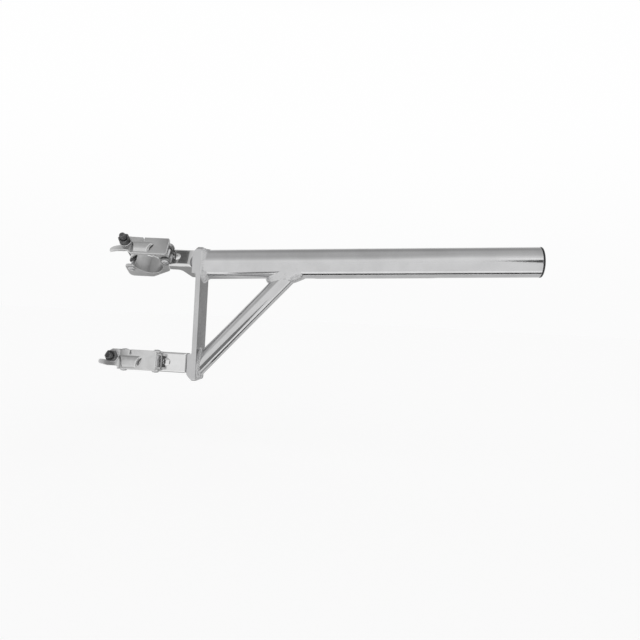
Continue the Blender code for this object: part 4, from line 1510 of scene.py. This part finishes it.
class LIGHTING_PIPE_OT_pins(bpy.types.Operator):
    """Makes the hinge pins, the bolts' pins and the rivets"""

    bl_idname = "lighting_pipe.pins"
    bl_label = "Pins and rivets"

    def execute(self, context):
        end = HALF_WIDTH + GAP
        tail_back = TAIL_FRONT - clamp_sizes().plate - GAP
        for side in SIDES:
            for name, node, centre in (("hinge_rod", "hinge_pin", HINGE),
                                       ("bolt_rod", "t_bolt_pin", T_PIN)):
                pin = headed(side + "_" + name, dome(0.006, 0.002), end, -end, spot(*centre),
                             (0, 0, 1))
                finished(at_jaws(pin, side), "turned_steel", side + "_clamp_body",
                         [side + "_" + node])
            rivet = headed(side + "_round_rivet", dome(0.0065, 0.003), WEB_FRONT + GAP, tail_back,
                           spot(RIVET_REACH, 0.0), FORWARD)
            finished(at_jaws(rivet, side), "bright_plating", side + "_clamp_body",
                     [side + "_jaw_rivet"])
        return {"FINISHED"}


def dome(radius, height, steps=8):
    """The profile of a domed head, from its rim to its top."""
    return [(radius * math.cos(turn), height * math.sin(turn))
            for turn in (math.pi / 2 * step / steps for step in range(steps + 1))]


def headed(name, head, high, low, base, direction):
    """A pin or rivet with a domed head at each end, between two distances along a direction."""
    profile = [(radius, high + rise) for radius, rise in reversed(head)]
    profile += [(PIN_RADIUS, high), (PIN_RADIUS, low)]
    profile += [(radius, low - rise) for radius, rise in head]
    return smooth(turned(name, profile, base, direction, sides=56), limit=50.0)


# the floor's height and radius, and how much light of its own it gives
FLOOR_HEIGHT = -0.205
FLOOR_RADIUS = 40.0
FLOOR_GLOW = 0.715

# where the camera stands, how it is turned in radians, and its lens in millimetres
CAMERA_PLACE = (0.27939, -0.93432, 0.00304)
CAMERA_YAW = 0.0748
CAMERA_PITCH = -0.0023
CAMERA_ROLL = 0.0537
CAMERA_LENS = 31.35

# how bright each unseen card shines, and its corners
CARDS = (
    ("card_behind", 0.26, ((0.14, 0.75, -0.3), (0.50, 0.75, -0.3), (0.50, 0.75, 0.3),
                            (0.14, 0.75, 0.3))),
    ("card_web", 0.11, ((-0.086, -0.098, 0.202), (-0.056, -0.098, 0.202),
                        (-0.056, -0.046, 0.226), (-0.086, -0.046, 0.226))),
    ("card_flanges", 0.50, ((-0.36, 0.03, -0.2), (-0.085, 0.03, -0.2), (-0.085, 0.22, -0.2),
                            (-0.36, 0.22, -0.2))),
    ("card_jaw", 0.30, ((-0.24, -0.10, -0.125), (-0.130, -0.10, -0.125),
                        (-0.130, -0.10, -0.045), (-0.24, -0.10, -0.045))),
    ("card_end", 0.08, ((0.645, -0.66, 0.20), (0.86, -0.66, -0.10), (0.86, -0.66, 0.30))),
    ("card_end_glint", 1.30, ((0.58, -0.66, 0.38), (0.86, -0.66, 0.31), (0.86, -0.66, 0.43))),
    ("card_brace", 0.25, ((0.009, -0.071, -0.125), (0.036, -0.037, -0.150),
                          (0.098, -0.039, -0.077), (0.147, -0.057, 0.006),
                          (0.075, -0.068, -0.057))),
)

# the height of the level cards over the floor, and their brightness, ends and sides
LOW_HEIGHT = -0.19
LOW_CARDS = (
    ("low_line", 0.0, (0.105, 0.72), (-0.02, 0.044)),
    ("low_faint_line", 0.45, (-0.095, 0.105), (-0.02, 0.044)),
    ("low_glint", 1.25, (-0.095, 0.72), (-0.11, -0.054)),
    ("low_underside", 0.70, (0.0, 0.9), (0.072, 0.8)),
    ("low_corner", 0.34, (-0.2, -0.06), (0.044, 0.65)),
    ("low_corner_middle", 0.48, (-0.06, -0.03), (0.044, 0.65)),
    ("low_corner_end", 0.62, (-0.03, 0.0), (0.044, 0.65)),
)

# directions in which the walls are darker, the cosines where that begins and is full,
# and by how much
SHADES = (
    ((-0.64, -0.66, 0.40), 0.945, 0.99, 0.30),
    ((-0.77, 0.37, 0.52), 0.98, 0.996, 0.5),
    ((-0.95, -0.25, 0.0), 0.93, 0.98, 0.5),
)


class LIGHTING_PIPE_OT_stage(bpy.types.Operator):
    """Makes the pale floor, the soft studio light and the camera"""

    bl_idname = "lighting_pipe.stage"
    bl_label = "Stage"

    def execute(self, context):
        make_floor()
        make_world()
        make_cards()
        make_camera()
        context.scene.view_settings.view_transform = "Standard"
        return {"FINISHED"}


def glowing(name, shape, material_name, colour, light, strength):
    """A piece of the stage with a matt colour and light of its own."""
    piece = mesh_object(name, shape)
    material, paint = new_material(material_name)
    paint.shade({"Base Color": colour, "Roughness": 1.0, "Specular IOR Level": 0.0,
                 "Emission Color": light, "Emission Strength": strength})
    piece.data.materials.append(material)
    return piece


def make_floor():
    """A wide pale disc under the object."""
    shape = bmesh.new()
    bmesh.ops.create_circle(shape, cap_ends=True, segments=96, radius=FLOOR_RADIUS)
    bmesh.ops.translate(shape, vec=(0, 0, FLOOR_HEIGHT), verts=shape.verts)
    pale = finishes().floor
    glowing("floor", shape, "pale_floor", tone(pale, 0.5), tone(pale, 1.0), FLOOR_GLOW)


def make_world():
    """White walls that fade to a grey ceiling, with a few darker places."""
    world = bpy.data.worlds.new("studio")
    bpy.context.scene.world = world
    world.use_nodes = True
    paint = NodeMaker(world.node_tree)
    heading = paint.node("ShaderNodeTexCoord", output=0)
    right, back, up = [paint.node("ShaderNodeSeparateXYZ", {}, {0: heading}, output=axis)
                       for axis in range(3)]
    raised = up + 0.2 * right.ramp(-0.05, 0.2, 1.0, 0.0) * back.ramp(-0.3, 0.0, 1.0, 0.0)
    walls = 0.965 + 0.03 * up.ramp(0.0, 0.35)
    ceiling = raised.ramp(0.47, 0.80) * (0.30 + 0.22 * back.ramp(-0.2, 0.5))
    top = raised.ramp(0.75, 1.0) * 0.12
    level = walls - ceiling - top
    for aim, outer, inner, depth in SHADES:
        towards = paint.node("ShaderNodeVectorMath", {"operation": "DOT_PRODUCT"},
                             {0: heading, 1: Vector(aim).normalized()}, output=1)
        level = level * (1 - depth * towards.ramp(outer, inner))
    shade = world.node_tree.nodes["Background"]
    paint.feed(shade.inputs["Color"], level)
    paint.feed(shade.inputs["Strength"], 1.0)


def make_cards():
    """Unseen cards whose reflections draw the bright and dark bands on the metal."""
    cards = list(CARDS)
    for name, level, (left, right), (near, far) in LOW_CARDS:
        cards.append((name, level, ((left, near, LOW_HEIGHT), (right, near, LOW_HEIGHT),
                                    (right, far, LOW_HEIGHT), (left, far, LOW_HEIGHT))))
    for name, level, corners in cards:
        shape = bmesh.new()
        shape.faces.new([shape.verts.new(corner) for corner in corners])
        card = glowing(name, shape, name, (0, 0, 0, 1), (1, 1, 1, 1), level)
        card.visible_camera = False
        card.visible_shadow = False
        card.visible_diffuse = False


def make_camera():
    """The camera where the photograph was taken from."""
    camera = bpy.data.cameras.new("camera")
    camera.lens = CAMERA_LENS
    camera.sensor_width = 36.0
    camera.clip_start = 0.01
    camera.clip_end = 200.0
    holder = bpy.data.objects.new("camera", camera)
    bpy.context.scene.collection.objects.link(holder)
    forward = Vector((-math.sin(CAMERA_YAW) * math.cos(CAMERA_PITCH),
                      math.cos(CAMERA_YAW) * math.cos(CAMERA_PITCH), math.sin(CAMERA_PITCH)))
    level = Vector((math.cos(CAMERA_YAW), math.sin(CAMERA_YAW), 0))
    upward = level.cross(forward)
    right = level * math.cos(CAMERA_ROLL) + upward * math.sin(CAMERA_ROLL)
    top = upward * math.cos(CAMERA_ROLL) - level * math.sin(CAMERA_ROLL)
    turn = Matrix((right, top, -forward)).transposed()
    holder.matrix_world = Matrix.Translation(CAMERA_PLACE) @ turn.to_4x4()
    bpy.context.scene.camera = holder


class LIGHTING_PIPE_PT_panel(bpy.types.Panel):
    """Lists the sizes, the finishes and the pieces"""

    bl_label = "Lighting pipe"
    bl_idname = "LIGHTING_PIPE_PT_panel"
    bl_space_type = "VIEW_3D"
    bl_region_type = "UI"
    bl_category = "Lighting pipe"

    def draw(self, context):
        layout = self.layout
        for group in (arm_sizes(), clamp_sizes(), finishes()):
            box = layout.box()
            for name in group.__annotations__:
                box.prop(group, name)
        for operator in OPERATORS:
            layout.operator(operator.bl_idname)


OPERATORS = (
    LIGHTING_PIPE_OT_stage,
    LIGHTING_PIPE_OT_pipe,
    LIGHTING_PIPE_OT_cap,
    LIGHTING_PIPE_OT_bar,
    LIGHTING_PIPE_OT_brace,
    LIGHTING_PIPE_OT_welds,
    LIGHTING_PIPE_OT_pivots,
    LIGHTING_PIPE_OT_brackets,
    LIGHTING_PIPE_OT_rear_jaws,
    LIGHTING_PIPE_OT_front_jaws,
    LIGHTING_PIPE_OT_swing_bolts,
    LIGHTING_PIPE_OT_nuts,
    LIGHTING_PIPE_OT_pins,
)
GROUPS = (ArmSizes, ClampSizes, Finishes)


def register():
    """Adds the classes, and the sizes and finishes to the scene."""
    for item in GROUPS + OPERATORS + (LIGHTING_PIPE_PT_panel,):
        bpy.utils.register_class(item)
    bpy.types.Scene.lighting_pipe_arm = PointerProperty(type=ArmSizes)
    bpy.types.Scene.lighting_pipe_clamp = PointerProperty(type=ClampSizes)
    bpy.types.Scene.lighting_pipe_finish = PointerProperty(type=Finishes)


def unregister():
    """Takes away what register added."""
    del bpy.types.Scene.lighting_pipe_finish
    del bpy.types.Scene.lighting_pipe_clamp
    del bpy.types.Scene.lighting_pipe_arm
    for item in reversed(GROUPS + OPERATORS + (LIGHTING_PIPE_PT_panel,)):
        bpy.utils.unregister_class(item)


def main():
    """Makes every piece in order."""
    register()
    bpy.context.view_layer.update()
    for operator in OPERATORS:
        group, name = operator.bl_idname.split(".")
        getattr(getattr(bpy.ops, group), name)()


if __name__ == "__main__":
    main()
